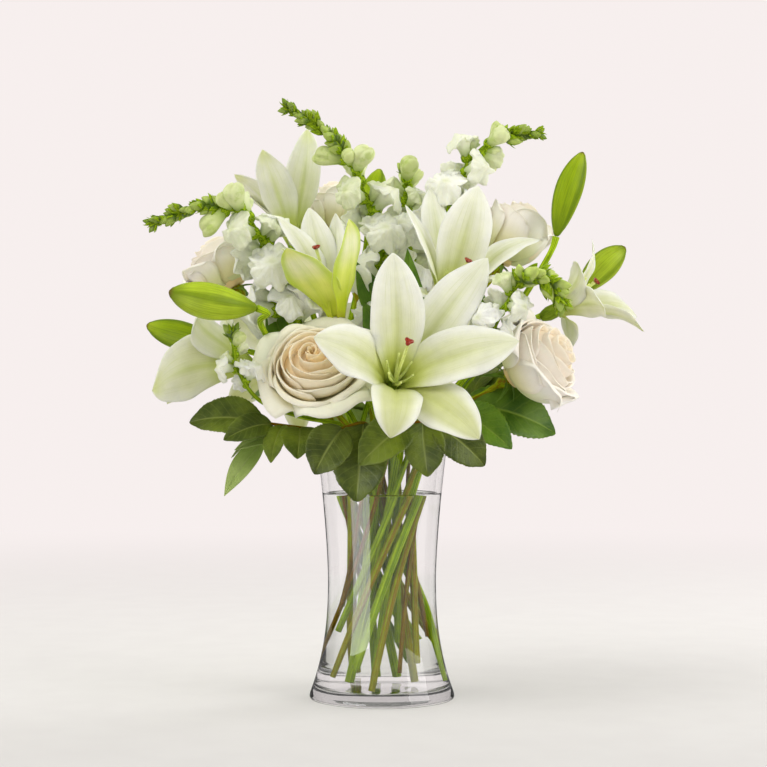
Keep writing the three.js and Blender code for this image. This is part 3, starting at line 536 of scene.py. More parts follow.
def stigma_finish():
    """Sticky and red, with the grain of its many small warts."""
    finish = Finish("stigma_red", Roughness=0.22, Coat_Weight=0.5, Coat_Roughness=0.1)
    grain = finish.noise(finish.place(), 900.0, 4.0, 0.6)
    finish.paint(finish.ramp(grain, (0.3, linear(112, 22, 14)), (0.7, linear(178, 62, 34))))
    finish.bump(grain, 0.6, 0.0006)
    return finish.material


stigma_red = stigma_finish()
filament_green = plain_plant("filament_green", linear(236, 243, 168), linear(206, 220, 116), 0.4)
anther_brown = plain_plant("anther_brown", linear(104, 62, 26), linear(70, 38, 16), 0.7)
throat_green = plain_plant("throat_green", linear(138, 162, 44), linear(112, 138, 30), 0.4)
lily_stem_green = plain_plant("lily_stem_green", linear(190, 216, 44), linear(98, 136, 4), 0.42)
print("heart finishes:", stigma_red.name, filament_green.name, throat_green.name)


# %% Finish of the lily buds
BUD_SEAMS = 3
BUD_TIP_BROWN = linear(110, 98, 30)


def bud_finish(name, base, flank, seam, tip):
    """Three petals close over three others, so a bud has darker seams and paler flanks."""
    finish = Finish(
        name,
        Roughness=0.38,
        Specular_IOR_Level=0.25,
        Subsurface_Weight=0.2,
        Subsurface_Scale=0.004,
        Subsurface_Radius=GREEN_DEPTH,
    )
    split = finish.add("SeparateXYZ", Vector=finish.map())
    u, v = split.outputs["X"], split.outputs["Y"]
    ground = finish.ramp(u, (0.0, base), (0.3, flank), (0.75, flank), (1.0, tip))
    waves = finish.math("COSINE", finish.times(v, BUD_SEAMS * math.pi))
    colour = finish.mix(finish.spread(waves, 0.55, 1.0, 0.0, 0.75), ground, seam)
    streak = finish.fibres(1.6, 34.0, roughness=0.65)
    colour = finish.mix(finish.spread(streak, 0.42, 0.66, 0.0, 0.65), colour, seam)
    colour = finish.mix(finish.spread(u, 0.95, 1.0), colour, BUD_TIP_BROWN)
    finish.paint(colour, 0.08, 50.0)
    finish.bump(streak, 0.5, 0.001)
    return finish.material


bud_lime = bud_finish(
    "lily_bud_lime",
    base=linear(128, 152, 8),
    flank=linear(176, 199, 44),
    seam=linear(116, 142, 8),
    tip=linear(126, 148, 16),
)
bud_deep = bud_finish(
    "lily_bud_deep",
    base=linear(122, 148, 2),
    flank=linear(148, 174, 2),
    seam=linear(98, 126, 1),
    tip=linear(158, 178, 30),
)
print("bud finishes:", bud_lime.name, bud_deep.name)


# %% [markdown]
# ## Leaf finishes
#
# A leaf is read by its veins. Lemon leaf is leathery and dark with a pale midrib and side veins that
# curve towards the tip, so its veins are a wave in a bent coordinate. Lily and ruscus leaves have veins
# that all run along the blade. The underside is paler and duller. The tone sets how light each single
# leaf is, because no two leaves of a branch are equally old.

# %% How a leaf is finished
VEIN_SLANT = 0.22
SHINY = dict(rough=0.4, gloss=0.45)
DULL = dict(rough=0.55, gloss=0.2)


def leaf_finish(name, dark, light, vein, side_veins=9, rough=0.4, gloss=0.45, vein_share=0.2):
    finish = Finish(
        name,
        Roughness=rough,
        Specular_IOR_Level=gloss,
        Subsurface_Weight=0.05,
        Subsurface_Scale=0.002,
        Subsurface_Radius=GREEN_DEPTH,
    )
    u, across = finish.along()
    patches = finish.noise(finish.place(), 45.0, 4.0, 0.6)
    ground = finish.mix(finish.spread(patches, 0.3, 0.7), dark, light)
    ground = finish.lightened(ground, finish.spread(finish.tone(), 0.0, 1.0, 0.72, 1.4))
    if side_veins:
        stray = finish.math("MULTIPLY_ADD", finish.noise(finish.place(), 60.0, 2.0), 0.05, u)
        bent = finish.math("SUBTRACT", stray, finish.times(across, VEIN_SLANT))
        wave = finish.math("COSINE", finish.times(bent, side_veins * 2 * math.pi))
        lines = finish.spread(wave, 0.86, 1.0, 0.0, vein_share)
        small = finish.fibres(26.0, 18.0, 3.0)
    else:
        lines = finish.spread(finish.fibres(1.5, 40.0, 3.0, 0.5), 0.5, 0.7, 0.0, vein_share)
        small = finish.fibres(4.0, 60.0, 3.0)
    midrib = finish.spread(across, 0.09, 0.0, 0.0, 0.85)
    share = finish.math("MAXIMUM", midrib, lines)
    colour = finish.mix(share, ground, vein)
    finish.paint(finish.mix(finish.spread(across, 0.93, 1.0, 0.0, 0.4), colour, vein))
    finish.bump(finish.math("MULTIPLY_ADD", share, -0.8, small), 0.45, 0.0012)
    return finish.material


# %% Leathery leaves
salal_face = leaf_finish(
    "lemon_leaf_face", linear(60, 76, 6), linear(106, 122, 28), linear(138, 150, 66), **SHINY
)
salal_back = leaf_finish(
    "lemon_leaf_back", linear(100, 122, 46), linear(122, 142, 60), linear(150, 166, 88), **DULL
)
rose_leaf_face = leaf_finish(
    "rose_leaf_face", linear(58, 94, 6), linear(98, 132, 26), linear(132, 158, 56), 8, **SHINY
)
rose_leaf_back = leaf_finish(
    "rose_leaf_back", linear(96, 128, 62), linear(118, 146, 74), linear(150, 174, 104), 8, **DULL
)
print("leathery leaves:", salal_face.name, rose_leaf_face.name)

# %% Leaves whose veins run along the blade, and their stems
lily_leaf_face = leaf_finish(
    "lily_leaf_face", linear(52, 90, 8), linear(92, 126, 26), linear(124, 152, 50), 0, vein_share=0.3
)
lily_leaf_back = leaf_finish(
    "lily_leaf_back",
    linear(92, 122, 56),
    linear(112, 140, 70),
    linear(140, 164, 90),
    side_veins=0,
    vein_share=0.3,
    rough=0.5,
)
ruscus_face = leaf_finish(
    "ruscus_face", linear(126, 148, 70), linear(150, 168, 92), linear(176, 190, 120), 0, vein_share=0.35
)
ruscus_back = leaf_finish(
    "ruscus_back",
    linear(140, 160, 90),
    linear(160, 178, 108),
    linear(182, 196, 130),
    side_veins=0,
    vein_share=0.3,
    rough=0.5,
)
rose_stem_green = plain_plant("rose_stem_green", linear(152, 178, 16), linear(136, 96, 14))
salal_stem_brown = plain_plant("lemon_leaf_stem", linear(128, 58, 18), linear(120, 124, 10), 0.5)
ruscus_stem_green = plain_plant("ruscus_stem", linear(136, 160, 62), linear(104, 130, 40))
print("other leaves:", lily_leaf_face.name, ruscus_face.name)


# %% [markdown]
# ## Rose and snapdragon finishes
#
# A cream rose is peach deep in its middle and paler on each ring outwards. The tone number on each
# petal, 0 at the rim of the bloom and 1 at its heart, mixes the two. On a snapdragon the same number
# is the age: young flowers at the top are lime, older ones below are white with a lime throat.

# %% Rose finishes
def rose_finish(name, outermost, outer, inner, heart):
    """The four colours run from the rim of the bloom to its middle."""
    finish = Finish(
        name,
        Roughness=0.5,
        Specular_IOR_Level=0.3,
        Subsurface_Weight=0.15,
        Subsurface_Scale=0.003,
        Subsurface_Radius=(1.0, 0.8, 0.55),
    )
    u, _ = finish.along()
    ring = finish.tone()
    body = finish.ramp(ring, (0.0, outermost), (0.25, outer), (0.6, inner), (1.0, heart))
    root = finish.ramp(
        ring, (0.0, linear(226, 230, 170)), (0.5, linear(254, 230, 178)), (1.0, linear(252, 214, 150))
    )
    colour = finish.mix(finish.spread(u, 0.75, 0.15), body, root)
    colour = finish.mix(finish.spread(u, 0.8, 1.0, 0.0, 0.3), colour, linear(250, 246, 226))
    veins = finish.fibres(2.0, 26.0, roughness=0.65)
    colour = finish.mix(finish.spread(veins, 0.45, 0.75, 0.0, 0.12), colour, linear(232, 212, 176))
    finish.paint(colour, 0.04, 50.0)
    finish.bump(veins, 0.25, 0.0012)
    return finish.material


cream_petal = rose_finish(
    "rose_petal", linear(244, 245, 222), linear(251, 245, 222), linear(254, 240, 210), linear(255, 232, 188)
)
blush_petal = rose_finish(
    "blush_rose_petal",
    linear(253, 249, 240),
    linear(255, 248, 236),
    linear(255, 246, 232),
    linear(255, 241, 218),
)
print("rose finishes:", cream_petal.name, blush_petal.name)


# %% How a snapdragon flower is finished
def snapdragon_finish():
    """Lips over a greener tube. A young flower has blotches of lime."""
    finish = Finish(
        "snapdragon_petal",
        Roughness=0.5,
        Specular_IOR_Level=0.3,
        Subsurface_Radius=(1.0, 0.95, 0.6),
        **PETAL_GLOW,
    )
    u, _ = finish.along()
    age = finish.tone()
    lips = finish.ramp(
        age,
        (0.0, linear(204, 218, 132)),
        (0.2, linear(224, 233, 176)),
        (0.45, linear(244, 247, 228)),
        (1.0, linear(251, 252, 245)),
    )
    tube = finish.ramp(age, (0.0, linear(134, 162, 44)), (1.0, linear(206, 220, 150)))
    colour = finish.mix(finish.spread(u, 0.1, 0.4), tube, lips)
    colour = finish.mix(finish.spread(u, 0.82, 1.0, 0.0, 0.35), colour, linear(206, 214, 122))
    streak = finish.fibres(3.0, 22.0)
    colour = finish.mix(finish.spread(streak, 0.45, 0.75, 0.0, 0.16), colour, linear(216, 225, 168))
    blotch = finish.spread(finish.noise(finish.place(), 110.0, 3.0, 0.6), 0.48, 0.66, 0.0, 0.55)
    young = finish.spread(age, 0.5, 0.1)
    colour = finish.mix(finish.times(blotch, young), colour, linear(168, 194, 76))
    finish.paint(colour, 0.05, 70.0)
    crumple = finish.noise(finish.place(), 260.0, 3.0, 0.6)
    finish.bump(finish.math("ADD", streak, crumple), 0.6, 0.0016)
    return finish.material


# %% Finishes of the closed buds and the stem of a spike
def spike_bud_finish():
    """Each bud is dark in its cup of sepals and paler where the petals show. Low buds are paler."""
    finish = Finish(
        "snapdragon_bud",
        Roughness=0.45,
        Subsurface_Weight=0.15,
        Subsurface_Scale=0.003,
        Subsurface_Radius=GREEN_DEPTH,
    )
    u, _ = finish.along()
    shown = finish.mix(finish.tone(), linear(120, 148, 30), linear(196, 214, 112))
    finish.paint(finish.mix(finish.spread(u, 0.3, 0.6), linear(84, 112, 14), shown), 0.15, 150.0)
    finish.bump(finish.fibres(3.0, 20.0, 3.0), 0.4, 0.0008)
    return finish.material


snapdragon_petal = snapdragon_finish()
spike_bud = spike_bud_finish()
spike_stem = plain_plant("snapdragon_stem", linear(86, 122, 4), linear(168, 194, 36))
print("spike finishes:", snapdragon_petal.name, spike_bud.name, spike_stem.name)


# %% [markdown]
# ## Where every flower stands
#
# These are the same places as in the solid model, in millimetres. A lily needs its base, the way it
# faces, the end of its style and six petal tips. Petals are numbered from 0, and the even ones are the
# broad inner three.

# %% Places of the lilies
LILIES = {
    "front": dict(
        base=[7, -43, 237],
        axis=[0.15, -0.9, 0.38],
        style=[19, -112, 272],
        tepals=[
            ([8, -85, 339], 41, 80),
            ([79, -60, 337], 38, 75),
            ([100, -92, 274], 42, 85),
            ([70, -113, 203], 42, 95, 3),
            ([6, -124, 204], 38, 120),
            ([-49, -108, 276], 42, 95, 3),
        ],
    ),
    "centre": dict(
        base=[45, -10, 288],
        axis=[0.25, -0.3, 0.92],
        style=[65, -30, 336],
        tepals=[
            ([18, -22, 381], 28, 50),
            ([38, 14, 398], 32, 45),
            ([74, -20, 396], 40, 40),
            ([123, 0, 356], 30, 85),
            ([103, -44, 316], 26, 115),
            ([14, -45, 316], 26, 90),
        ],
    ),
    "half_open": dict(
        base=[-31, -8, 282],
        axis=[-0.27, -0.25, 0.92],
        style=[-50, -30, 346],
        tepals=[
            ([-71, -58, 345], 42, 30),
            ([-25, -54, 367], 34, 10),
            ([-36, -8, 376], 26, 25),
            ([-57, -1, 381], 28, 40),
            ([-80, -19, 371], 28, 45),
            ([-76, -40, 346], 26, 50),
        ],
    ),
    "left": dict(
        base=[-93, -5, 254],
        axis=[-0.9, -0.12, 0.4],
        style=[-140, -12, 276],
        tepals=[
            ([-172, -56, 238], 50, 75, 1.5, 40),
            ([-137, -54, 296], 30, 105),
            ([-135, -10, 314], 28, 105),
            ([-120, 32, 313], 28, 100),
            ([-150, 56, 246], 34, 90),
            ([-168, 3, 228], 34, 85, 1.5, 35),
        ],
    ),
    "right": dict(
        base=[127, 10, 297],
        axis=[0.86, -0.05, 0.42],
        style=[166, 3, 323],
        tepals=[
            ([166, 18, 358], 32, 80),
            ([204, 38, 298], 34, 80),
            ([152, 62, 278], 30, 95),
            ([203, -10, 284], 30, 80),
            ([168, -42, 301], 28, 95),
            ([150, -30, 335], 28, 95),
        ],
    ),
    "back_left": dict(
        base=[-69, 48, 347],
        axis=[-0.15, 0.25, 0.92],
        style=[-84, 70, 404],
        tepals=[
            ([-60, 40, 449], 34, 15),
            ([-95, 24, 430], 30, 40),
            ([-119, 46, 413], 34, 60),
            ([-124, 82, 398], 32, 80),
            ([-97, 104, 412], 30, 70),
            ([-62, 74, 430], 28, 30),
        ],
    ),
    "back": dict(
        base=[-58, 78, 262],
        axis=[-0.4, 0.85, 0.3],
        style=[-86, 132, 288],
        tepals=[
            ([-70, 128, 340], 34, 90),
            ([-10, 138, 312], 32, 90),
            ([-18, 150, 252], 34, 90),
            ([-70, 140, 202], 32, 95),
            ([-130, 112, 226], 34, 90),
            ([-132, 104, 302], 32, 90),
        ],
    ),
}

# %% Places of the lily buds
# Root, tip, radius and finish.
LILY_BUDS = {
    "left_upper": ([-94, -56, 300], [-157, -76, 311], 14, bud_lime),
    "left_lower": ([-130, 38, 277], [-188, 34, 291], 12, bud_deep),
    "right_upper": ([137, 10, 360], [158, 10, 426], 11, bud_deep),
    "right_lower": ([160, 52, 318], [197, 54, 355], 12, bud_lime),
    "back_upper": ([-12, 112, 372], [-2, 146, 430], 11.5, bud_deep),
}

print(len(LILIES), "open lilies,", len(LILY_BUDS), "buds")


# %% [markdown]
# ## Lily petals
#
# A lily's petal, or tepal, leaves the throat almost upright and curls outwards. Its middle line is a
# Bezier curve from the throat to the tip. Across it the petal is hollow like a spoon near the root and
# flat at the end, with a furrow along the midrib and a margin that waves. A cloth or sculpt tool could
# make one such petal, but a formula makes forty-two that all fit their flower.

# %% Outline and relief of a petal
CLAW_SHARE = 0.24
WIDEST_AT = 0.55
FURROW_HEIGHT = 0.9
FURROW_WIDTH = 0.12
PLEAT_HEIGHT = 0.22


def tepal_width(u):
    """Half-width share: narrow claw, widest past the middle, rounded tip."""
    claw = CLAW_SHARE + (1 - CLAW_SHARE) * smooth_step(u / WIDEST_AT)
    beyond = np.clip((u - WIDEST_AT) / (1 - WIDEST_AT), 0, 1)
    return np.where(u < WIDEST_AT, claw, np.clip(1 - beyond**2.4, 0, 1) ** 0.8)


def tepal_relief(u, v, half, ruffle, number):
    """How far the petal stands off a flat one. v runs from one margin, -1, to the other, 1."""
    belly = np.sin(math.pi * u)
    spoon = (0.48 * (1 - u) - 0.12 * u) * half * v**2
    wave = np.sin(9 * u + 2.1 * number) * np.abs(v) ** 3
    fine_wave = 0.42 * np.sin(22 * u + 1.3 * number + 1.9 * np.sign(v)) * np.abs(v) ** 5
    furrow = FURROW_HEIGHT * np.exp(-((v / FURROW_WIDTH) ** 2)) * np.clip(belly, 0, 1) ** 0.5
    pleats = PLEAT_HEIGHT * np.cos(7 * v) * belly
    return furrow + pleats - spoon - ruffle * (wave + fine_wave) * belly


print("widths along a petal:", tepal_width(np.linspace(0, 1, 5)).round(2).tolist())

# %% Middle surface of a petal
TEPAL_ROWS = 42
TEPAL_COLUMNS = 21
THROAT_BASE = 4
# How far from the axis a petal starts, and how much it flares, for the inner three and the outer three.
INNER_START = (1.5, 0.10)
OUTER_START = (3.0, 0.16)


def tepal_grid(number, tip, width, curl, ruffle=1.5, roll=0):
    """The middle surface of a petal in its flower's own frame. Curl and roll are in degrees."""
    up = np.array([0.0, 0.0, 1.0])
    outward = unit(np.array([tip[0], tip[1], 0.0]))
    length = np.linalg.norm(tip)
    root, flare = INNER_START if number % 2 == 0 else OUTER_START
    ending = up * math.cos(math.radians(curl)) + outward * math.sin(math.radians(curl))
    u = np.linspace(0, 1, TEPAL_ROWS) ** 0.94
    start = THROAT_BASE * up + root * outward
    knee = 0.42 * length * up + flare * length * outward
    place, way = bezier(start, knee, tip - 0.35 * length * ending, tip, u)
    roll_about_tip = Quaternion(Vector(unit(tip)), math.radians(roll))
    side = np.array(roll_about_tip.to_matrix()) @ np.cross(up, outward)
    back = np.cross(side, way)
    u = u[:, None]
    v = np.linspace(-1, 1, TEPAL_COLUMNS)[None, :]
    half = np.maximum(tepal_width(u) * width / 2, 0.35)
    half = half * (1 + 0.025 * np.sin(15 * u + 1.7 * number + np.sign(v)) * np.abs(v))
    lift = tepal_relief(u, v, half, ruffle, number)
    return place[:, None] + side * (v * half)[..., None] + back[:, None] * lift[..., None]


def place_head(local, base, axis, turn=0.0):
    """From a flower's own frame, where its axis is upright, to the bouquet's."""
    return local @ turned_onto(axis, turn).T + point(base)


def own_frame(world, base, axis):
    """From the bouquet's frame to a flower's own."""
    return (point(world) - point(base)) @ turned_onto(axis)


reach = [np.linalg.norm(point(tip) - LILIES["front"]["base"]) for tip, *_ in LILIES["front"]["tepals"]]
print("petals of the front lily reach", np.round(reach), "mm")


# %% Make the petals of the open lilies
PETAL_SHEET = 0.9
THROAT_OUTLINE = [(1.2, -3.0), (2.9, -2.6), (4.3, 0.0), (5.6, 4.0), (5.6, 9.0), (4.8, 14.0)]
# Painted shade: petals are painted darker and greener the lower they hang. A flower named here gets only a
# share of that.
SHADE_LEVEL = 0.62
SHADE_RANGE = 120
SHADE_SHARE = {"left": 0.35, "right": 0.4, "back_left": 0.5, "half_open": 0.1}


def add_throat(bunch, base, axis, finish):
    """The cup where the six petals meet the stalk."""
    rings = upright_body(THROAT_OUTLINE, 18, lambda turn: 1 + 0.05 * np.cos(6 * turn))
    add_rings(bunch, place_head(rings, base, axis), 0.0, finish)


for name, lily in LILIES.items():
    base, axis = lily["base"], lily["axis"]
    petals = Bunch()
    for number, (tip, *shape) in enumerate(lily["tepals"]):
        grid = tepal_grid(number, own_frame(tip, base, axis), *shape)
        # How much painted shade a petal gets, by how far its tip hangs below the flower's base.
        hanging_shade = np.clip(SHADE_LEVEL - (tip[2] - base[2]) / SHADE_RANGE, 0, 1) * SHADE_SHARE.get(name, 1.0)
        add_sheet(petals, place_head(grid, base, axis), PETAL_SHEET, hanging_shade)
    add_throat(petals, base, axis, 2)
    outside = lime_back if name == "half_open" else lily_back
    finishes = [lily_face, outside, throat_green]
    stand_for(f"{name}_lily_petals", petals, finishes, f"lily_{name}_tepals")
print("triangles of the front lily's petals:", triangles["front_lily_petals"])


# %% [markdown]
# ## Style, filaments and stigma
#
# In the middle stands the style with its three-lobed, sticky red stigma. Six filaments spread round
# it. Florists pinch the anthers off open lilies, because pollen stains, so only the flower that is
# still opening keeps its brown ones. Each is a tube along a short curve, and the stigma is a low turned
# body with three lobes.

# %% Lines of the style and the filaments
STYLE_FOOT = 14.6
FILAMENTS = 6
FILAMENT_LENGTH = 22
FILAMENT_SPREAD = 11.0


def style_bend(style_end):
    """Where the style starts, above the throat, and the point it bends through."""
    start = np.array([0, 0, STYLE_FOOT])
    return start, (start + style_end) / 2 + np.array([0, 0, 3.0])


def filament_ends(style_end, number):
    """Root and tip of a filament, the style's direction, and the direction away from it."""
    start, bend = style_bend(style_end)
    along = unit(bend - start)
    side = unit(np.cross([1, 0.2, 0.1], along))
    up = np.cross(along, side)
    turn = number * 2 * math.pi / FILAMENTS
    outward = math.cos(turn) * side + math.sin(turn) * up
    root = start + np.array([0, 0, 1.2 + 0.5 * number])
    reach = FILAMENT_LENGTH + 5 * chance(number, 3)
    return root, root + along * reach + outward * FILAMENT_SPREAD, along, outward


def add_anther(bunch, tip, along, outward, finish):
    """A pollen sac, laid across the end of its filament."""
    lie = unit(np.cross(along, outward) + 0.4 * along)
    line = tip + lie * np.linspace(-3.6, 3.6, 9)[:, None]
    radii = 1.15 * np.sqrt(np.clip(1 - np.linspace(-1, 1, 9) ** 4, 0.04, 1))
    add_tube(bunch, line, radii, 10, 0.0, finish, lambda turn: 1 + 0.18 * np.cos(2 * turn))


print(FILAMENTS, "filaments of", FILAMENT_LENGTH, "mm or a little more")

# %% Make the hearts and stigmas of the open lilies
STYLE_SHARES = [0, 0.3, 0.9, 1]
STYLE_RADII = [2.0, 1.2, 1.15, 1.5]
# Radius of the stigma, and how far each ring stands beyond the end of the style.
STIGMA_OUTLINE = [(1.3, 0.35), (2.1, 0.9), (3.0, 1.7), (3.0, 2.5), (2.1, 3.2), (0.9, 3.5)]


def heart_of(name, base, axis, style_end):
    """The style and its filaments, with anthers on the half-open flower."""
    heart = Bunch()
    line = curve_through([*style_bend(style_end), style_end], 24)
    radii = np.interp(np.linspace(0, 1, len(line)), STYLE_SHARES, STYLE_RADII)
    add_tube(heart, place_head(line, base, axis), radii, 12)
    for number in range(FILAMENTS):
        root, tip, along, outward = filament_ends(style_end, number)
        middle = (root + tip) / 2 + outward * 1.6
        line = curve_through([root, middle, tip], 14)
        add_tube(heart, place_head(line, base, axis), np.linspace(1.2, 0.8, len(line)), 8)
        if name == "half_open":
            turn = turned_onto(axis).T
            add_anther(heart, place_head(tip, base, axis), along @ turn, outward @ turn, 1)
    return heart


def stigma_of(base, axis, style_end):
    stigma = Bunch()
    _, bend = style_bend(style_end)
    radii, beyond = np.array(STIGMA_OUTLINE).T
    line = style_end + unit(style_end - bend) * beyond[:, None]
    rings = rings_along(line, radii, 30, lambda turn: 1 + 0.26 * np.cos(3 * turn))
    add_rings(stigma, place_head(rings, base, axis))
    return stigma


for name, lily in LILIES.items():
    place = lily["base"], lily["axis"]
    style_end = own_frame(lily["style"], *place)
    heart = heart_of(name, *place, style_end)
    finishes = [filament_green, anther_brown]
    stand_for(f"{name}_lily_heart", heart, finishes, f"lily_{name}_heart")
    stigma = stigma_of(*place, style_end)
    stand_for(f"{name}_lily_stigma", stigma, [stigma_red], f"lily_{name}_stigma")
print("triangles of a heart and a stigma:", triangles["front_lily_heart"], triangles["front_lily_stigma"])


# %% [markdown]
# ## Lily buds
#
# A closed bud is six petals folded into a long body with three seams, a little bowed. Modelling the
# six petals would hide five sixths of the work inside. Rings with a lobed outline along a bowed line
# say the same, and they take few faces.

# %% Make the lily buds
BUD_SHARES = [0, 0.04, 0.15, 0.3, 0.45, 0.58, 0.72, 0.85, 0.94, 1.0]
BUD_RADII = [0.16, 0.3, 0.6, 0.84, 0.97, 1.0, 0.9, 0.68, 0.42, 0.12]
BUD_BOW = 1.6
SEAM_DEPTH = 0.07
SEAM_WIDTH = 0.16


def bud_lobes(turn):
    """Three narrow seams and six soft ribs."""
    third = 2 * math.pi / BUD_SEAMS
    from_seam = np.mod(turn + third / 2, third) - third / 2
    return 1 - SEAM_DEPTH * np.exp(-((from_seam / SEAM_WIDTH) ** 2)) + 0.025 * np.cos(6 * turn)


def bud_body(base, tip, radius, rows=40, sides=48):
    base, tip = point(base), point(tip)
    share = np.linspace(0, 1, rows)
    side = unit(np.cross(tip - base, [0.3, 1, 0.2]))
    bow = side * (BUD_BOW * np.sin(math.pi * share))[:, None]
    line = base + (tip - base) * share[:, None] + bow
    swell = np.interp(share, BUD_SHARES, BUD_RADII)
    swell = np.convolve(np.pad(swell, 2, mode="edge"), np.ones(5) / 5, "valid")
    swell[0], swell[-1] = 0.14, 0.08
    return rings_along(line, radius * swell, sides, bud_lobes)


for name, (base, tip, radius, finish) in LILY_BUDS.items():
    body = Bunch()
    add_rings(body, bud_body(base, tip, radius))
    stand_for(f"{name}_lily_bud", body, [finish], f"lily_bud_{name}")
print(len(LILY_BUDS), "buds of", triangles["left_upper_lily_bud"], "triangles")


# %% [markdown]
# ## Stems and leaves
#
# All stems cross the vase in a loose spiral, each a straight run through the water and then a curve up
# to its flower. A leaf is a sheet between its root and its tip: an arch along it, a fold across it and
# an outline. Rose leaves have saw teeth, and lemon leaf has a very fine saw edge. The side veins press
# a quilt into the blade, with the same slant as the lines of the finish.

# %% The run of a stem
TWIST = 128
NECK_HEIGHT = 206
FLOOR_HEIGHT = 11
# Radius of the ring where the stems stand on the floor, and of the ring where they pass the neck.
RINGS = {"outer": (43, 38.5), "inner": (21, 18)}
# Points of the straight run, which reaches from the foot of the stem to just below the neck.
IN_WATER = 13


def ring_point(radius, degrees, height):
    turn = math.radians(degrees)
    return np.array([radius * math.cos(turn), radius * math.sin(turn), height])


def stem_line(ring, turn, via, foot_height=FLOOR_HEIGHT, final=None, count=48):
    """The straight run in the water and the curve above it, as one line of points."""
    foot_radius, neck_radius = RINGS[ring]
    low = ring_point(foot_radius, turn - TWIST, FLOOR_HEIGHT)
    neck = ring_point(neck_radius, turn, NECK_HEIGHT)
    up = unit(neck - low)
    foot = low + up * ((foot_height - FLOOR_HEIGHT) / up[2])
    lead = neck - 14 * up
    stops = [point(s) for s in via]
    leave = [stops[-1] - 9 * point(final)] if final is not None else []
    bends = curve_through([lead, neck, *stops[:-1], *leave, stops[-1]], count)
    straight = foot + (lead - foot) * np.linspace(0, 1, IN_WATER + 1)[:-1, None]
    return np.concatenate([straight, bends])


print("a stem passes the neck at", ring_point(RINGS["outer"][1], 90, NECK_HEIGHT).round(1).tolist())


# %% Outlines of the leaves
def broad(u):
    """Rounded at the stalk and blunt, with a short point at the tip."""
    return np.sin(math.pi * np.clip(u, 0, 1) ** 0.85) ** 0.55 * (1 - 0.3 * smooth_step((u - 0.78) / 0.22))


def lance(u):
    """Narrow, with a long point at each end."""
    return np.sin(math.pi * np.clip(u, 0, 1) ** 0.85) ** 0.9


print("half-widths of a broad leaf:", broad(np.linspace(0, 1, 6)).round(2).tolist())

# %% A leaf as a sheet
LEAF_SHEET = 0.7
LEAF_FOLD = 0.25
GROOVE_DEPTH = 0.5
GROOVE_WIDTH = 0.07
QUILT_HEIGHT = 0.22


def leaf_relief(u, v, half, number, width, side_veins):
    """Fold, midrib groove, quilt between the side veins, and a slow wave of the margin."""
    fold = LEAF_FOLD * np.abs(v) * half
    groove = -GROOVE_DEPTH * np.exp(-((v / GROOVE_WIDTH) ** 2)) * (u < 0.97)
    quilt = 0.0
    if side_veins:
        bent = u - VEIN_SLANT * np.abs(v)
        swell = np.sin(math.pi * np.abs(v)) ** 0.5
        quilt = QUILT_HEIGHT * np.abs(np.sin(math.pi * side_veins * bent)) * swell
    wave = 0.03 * width * np.sin(7 * u + number) * np.abs(v) ** 2 * np.sin(math.pi * u) * np.sign(v)
    return fold + groove + quilt + wave


def add_leaf(bunch, stem, leaf, number, teeth=0.0, tooth_count=0, side_veins=9, face=0, back=1):
    """A leaf holds root, tip, width, and maybe face, arch and shape. It starts on the stem."""
    root = stem[np.argmin(np.linalg.norm(stem - point(leaf["root"]), axis=1))]
    run = point(leaf["tip"]) - root
    facing = point(leaf.get("face", [0, -0.5, 1]))
    side = unit(np.cross(run, facing))
    normal = unit(np.cross(side, run))
    u = np.linspace(0, 1, 64 if tooth_count else 40)[:, None]
    v = np.linspace(1, -1, 15)[None, :]
    outline = leaf.get("shape", broad)
    saw = np.mod(u * tooth_count, 1.0) if tooth_count else 0 * u
    half = np.maximum(outline(u) * leaf["width"] / 2 * (1 + teeth * (0.5 - saw)), 0.25)
    half = np.maximum(half, 1.0 * (u < 0.06))
    length = np.linalg.norm(run)
    arch = length * leaf.get("arch", 0.12) * 4 * u * (1 - u)
    lift = arch + leaf_relief(u, v, half, number, leaf["width"], side_veins)
    sway = 0.02 * length * np.sin(math.pi * u) * math.sin(1.7 * number)
    grid = root + run * u[..., None] + normal * lift[..., None] + side * (v * half + sway)[..., None]
    add_sheet(bunch, grid, LEAF_SHEET, chance(number + leaf["width"], 5), face, back)


print("side veins stand", QUILT_HEIGHT, "mm and a leaf is", LEAF_SHEET, "mm thick")


# %% [markdown]
# ## Lily stems
#
# One stem carries several flowers on stalks that leave its top together, as on a real lily. The stalk
# ends just under the flower or bud, so the flower stays a piece of its own.

